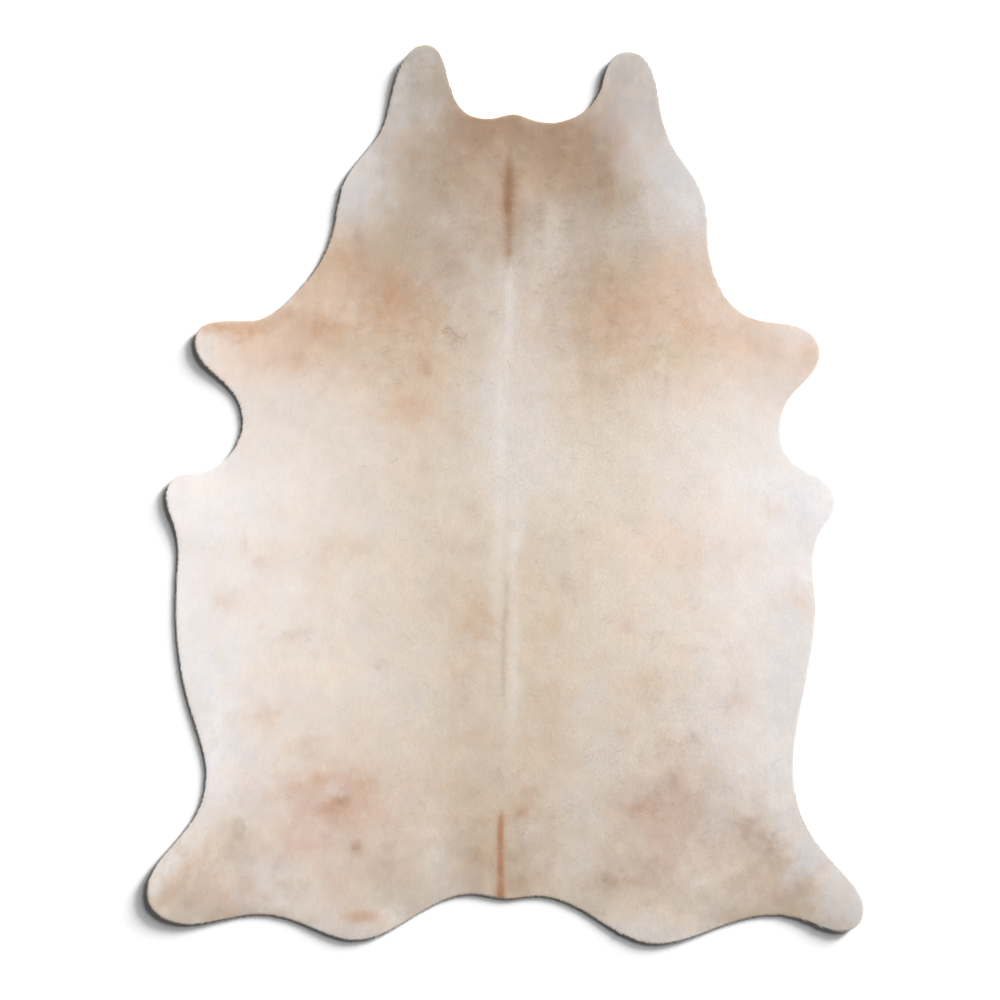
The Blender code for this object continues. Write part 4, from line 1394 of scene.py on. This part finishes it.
def tuft_arrays(shape, roots, angles, kind, chance):
    """Corners, triangles, colours and facing of tufts at the given roots, each a slim closed
    wedge that is shaded as a part of the hide's surface."""
    count = len(roots)
    ahead = np.stack((np.cos(angles), np.sin(angles)), axis=1)
    longest = kind.long[1] * MM
    gap, nearest = shape.inset_of(roots, longest)
    towards = np.clip((ahead * shape.out[nearest]).sum(axis=1), TOWARDS_LEAST, 1)
    room = np.where(gap < longest, (gap + OVERHANG) / towards, longest)
    long = np.minimum(chance.uniform(*kind.long, count) * MM, room)[:, None]
    wide = chance.uniform(*kind.wide, count)[:, None] * MM
    side = np.stack((ahead[:, 1], -ahead[:, 0]), axis=1)
    ground = shape.hair_top(roots)
    flat = np.stack((roots - side * wide / 2, roots + side * wide / 2,
                     roots + ahead * long * RIDGE_AT, roots + ahead * long), axis=1)
    tip = shape.hair_top(flat[:, 3]) + chance.uniform(*kind.tip, count) * MM
    straight = ground + (tip - ground) * RIDGE_AT
    ridge = np.maximum(shape.hair_top(flat[:, 2]), straight) + kind.ridge * MM
    foot = ground - kind.root * MM
    heights = np.stack((foot, foot, ridge, tip), axis=1)
    corners = np.concatenate((flat, heights[:, :, None]), axis=2).reshape(-1, 3)
    triangles = (np.arange(count)[:, None, None] * TUFT_CORNERS + TUFT_FACES).reshape(-1, 3)
    # Painted shade on the root corners and painted light on the tip, with a random lightness for each
    # tuft.
    shade = np.array((kind.dark, kind.dark, 1.0, kind.light))
    shade = shade * (1 + kind.vary * chance.standard_normal((count, 1)))
    places = flat.reshape(-1, 2)
    colours = shape.colour(places) * shade.reshape(-1, 1)
    facing = shape.facing(places)
    return corners, triangles, colours, facing


def add_coat(shape, material):
    """The short hair on the hide, in pieces from the head to the rump."""
    chance = np.random.default_rng(COAT_SEED)
    roots = staggered(shape.ring(RIM_GAP), COAT.spacing * MM)
    roots = roots + chance.uniform(-1, 1, roots.shape) * COAT.stray * COAT.spacing * MM
    roots = roots[np.argsort(-roots[:, 1])]
    angles = lie_of_hair(roots) + np.radians(COAT.turn) * chance.standard_normal(len(roots))
    made = []
    for name, rows in zip(COAT_PIECES, np.array_split(np.arange(len(roots)), len(COAT_PIECES))):
        tufts = tuft_arrays(shape, roots[rows], angles[rows], COAT, chance)
        made.append(add_tufts("coat_" + name, *tufts, material))
    return made


def ruffle_strokes(chance):
    """Every ruffle with its painted shade, the hair in front of some with painted light, and the single
    marks, as rows of middle, direction, bend, wave, length and how much darker they are."""
    rows = []
    for area in RUFFLED:
        middles = chance.normal((area.x, area.y), (area.across, area.along), (area.count, 2))
        for middle, hair in zip(middles, lie_of_hair(middles * MM)):
            heading = math.degrees(hair) + ASIDE + RUFFLE_STRAY * chance.standard_normal()
            bend = chance.uniform(-RUFFLE_BEND, RUFFLE_BEND)
            ahead = np.array((math.cos(hair), math.sin(hair)))
            aside = np.array((-ahead[1], ahead[0]))
            for _ in range(chance.integers(1, RUFFLE_RANK + 1)):
                half = chance.uniform(*RUFFLE_HALF)
                long = chance.uniform(*RUFFLE_LONG)
                shade = chance.uniform(RUFFLE_WEAKEST, 1) * np.array(RUFFLE_PAINTED_SHADE)
                wave = chance.uniform(-RUFFLE_WAVE, RUFFLE_WAVE)
                turned = heading + RUFFLE_TURN * chance.standard_normal()
                bent = (turned, bend * chance.uniform(*RUFFLE_BENDS), wave, long)
                if chance.uniform() < RUFFLE_PAINTED_LIGHT_SHARE:
                    front = middle + ahead * half * RUFFLE_AHEAD
                    # The hair in front of the ruffle, lightened with painted light.
                    rows.append((*front, *bent, *(shade * RUFFLE_PAINTED_LIGHT)))
                rows.append((*middle, *bent, *shade))
                middle = (middle + ahead * chance.uniform(*RUFFLE_GAP)
                          + aside * chance.uniform(-long, long) * RUFFLE_SLIP)
    rows += [(mark.x, mark.y, mark.heading, mark.bend, 0, mark.long, *mark.shade) for mark in MARKS]
    return rows


def add_ruffles(shape, material):
    """Rows of short hairs that stand a little above the coat, darkest mid-row: painted shade on the
    ruffles, the marks' own colour on the marks.
    """
    chance = np.random.default_rng(RUFFLE_SEED)
    roots, dark = [], []
    for x, y, heading, bend, wave, long, *shade in ruffle_strokes(chance):
        share = np.linspace(-0.5, 0.5, round(long / RUFFLE_SPACING))
        turn = np.radians(heading + bend * share + wave * np.sin(2 * math.pi * share))
        line = np.cumsum(np.stack((np.cos(turn), np.sin(turn)), axis=1), axis=0) * RUFFLE_SPACING
        roots.append((line - line.mean(axis=0) + (x, y)) * MM)
        dark.append(np.sqrt(np.cos(math.pi * share).clip(0, 1))[:, None] * shade)
    roots, dark = np.concatenate(roots), np.concatenate(dark)
    clear = is_inside(roots, shape.ring(RUFFLE_CLEAR * MM))
    roots, dark = roots[clear], dark[clear]
    angles = lie_of_hair(roots) + np.radians(RUFFLE_HAIR.turn) * chance.standard_normal(len(roots))
    back = np.mean(RUFFLE_HAIR.long) / 2 * MM
    roots = roots - np.stack((np.cos(angles), np.sin(angles)), axis=1) * back
    corners, triangles, colours, facing = tuft_arrays(shape, roots, angles, RUFFLE_HAIR, chance)
    # Painted shade on the ruffles, painted light in front of some, and the marks' own darker colour.
    colours = colours * (1 - np.repeat(dark, TUFT_CORNERS, axis=0))
    return add_tufts("ruffles", corners, triangles, colours, facing, material)


def add_tufts(name, corners, triangles, colours, facing, material):
    """One piece of the coat, shaded as the hide below it but for the tufts' undersides."""
    none = np.zeros((0, 4), dtype=int)
    data = make_mesh(name, corners, none, triangles, np.zeros(len(triangles), int))
    square = facing[triangles]
    square[len(TUFT_FACES) - 1::len(TUFT_FACES)] *= -1
    data.normals_split_custom_set(square.reshape(-1, 3))
    add_colours(data, np.clip(colours, 0, 1))
    add_chart(data, plan_of(corners)[triangles.ravel()])
    data.materials.append(material)
    made = bpy.data.objects.new(name, data)
    bpy.context.scene.collection.objects.link(made)
    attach(made, "root")
    return made


def coat_material():
    """The tufts' own tone."""
    material, tree, surface, tone = hair_surface("coat")
    tree.links.new(tone.outputs["Color"], surface.inputs["Base Color"])
    return material


def add_hide(shape):
    """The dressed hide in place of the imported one."""
    corners, quads, triangles, slots = build_hide(shape)
    data = make_mesh("cowhide", corners, quads, triangles, slots)
    add_colours(data, shape.colour(corners[:, :2]))
    add_flow(data, corners)
    add_chart(data, sheet_chart(corners, quads, triangles, (slots == FLESH_SLOT).sum()))
    data.materials.append(hair_material())
    for look in (CUT_LEATHER, FLESH_SIDE):
        data.materials.append(leather_material(look))
    hide = bpy.data.objects.new("cowhide", data)
    bpy.context.scene.collection.objects.link(hide)
    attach(hide, "root")
    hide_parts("hide")
    return hide


def add_floor():
    """A plain white floor."""
    corners = [(x * FLOOR_HALF, y * FLOOR_HALF, 0) for x, y in ((-1, -1), (1, -1), (1, 1), (-1, 1))]
    data = bpy.data.meshes.new("floor")
    data.from_pydata(corners, [], [range(len(corners))])
    data.materials.append(plain_material("floor", FLOOR_TONE, FLOOR_ROUGHNESS))
    floor = bpy.data.objects.new("floor", data)
    floor.location = (0, 0, -FLOOR_GAP)
    bpy.context.scene.collection.objects.link(floor)


def add_lamp(lamp):
    """A soft light from far away."""
    data = bpy.data.lights.new(lamp.name, "SUN")
    data.energy = lamp.strength
    data.angle = math.radians(lamp.width)
    light = bpy.data.objects.new(lamp.name, data)
    light.rotation_euler = (math.radians(90 - lamp.elevation), 0, math.radians(lamp.azimuth + 90))
    bpy.context.scene.collection.objects.link(light)


def add_camera():
    """Straight above the hide, as the photograph was taken."""
    data = bpy.data.cameras.new("camera")
    data.lens = LENS_MM
    data.sensor_width = SENSOR_MM
    camera = bpy.data.objects.new("camera", data)
    camera.location = (*PICTURE_MIDDLE, PICTURE_WIDTH * LENS_MM / SENSOR_MM)
    bpy.context.scene.collection.objects.link(camera)
    bpy.context.scene.camera = camera


def add_world():
    """An even white surrounding."""
    world = bpy.data.worlds.new("studio")
    world.use_nodes = True
    sky = world.node_tree.nodes["Background"]
    sky.inputs["Color"].default_value = (1, 1, 1, 1)
    sky.inputs["Strength"].default_value = WORLD_LIGHT
    bpy.context.scene.world = world
    bpy.context.scene.view_settings.view_transform = "Standard"


def main():
    """Dress the hide and set up the studio."""
    shape = Hide()
    hide = add_hide(shape)
    hair = coat_material()
    coat = add_coat(shape, hair)
    coat.append(add_ruffles(shape, hair))
    add_floor()
    add_camera()
    add_world()
    for lamp in LAMPS:
        add_lamp(lamp)


main()
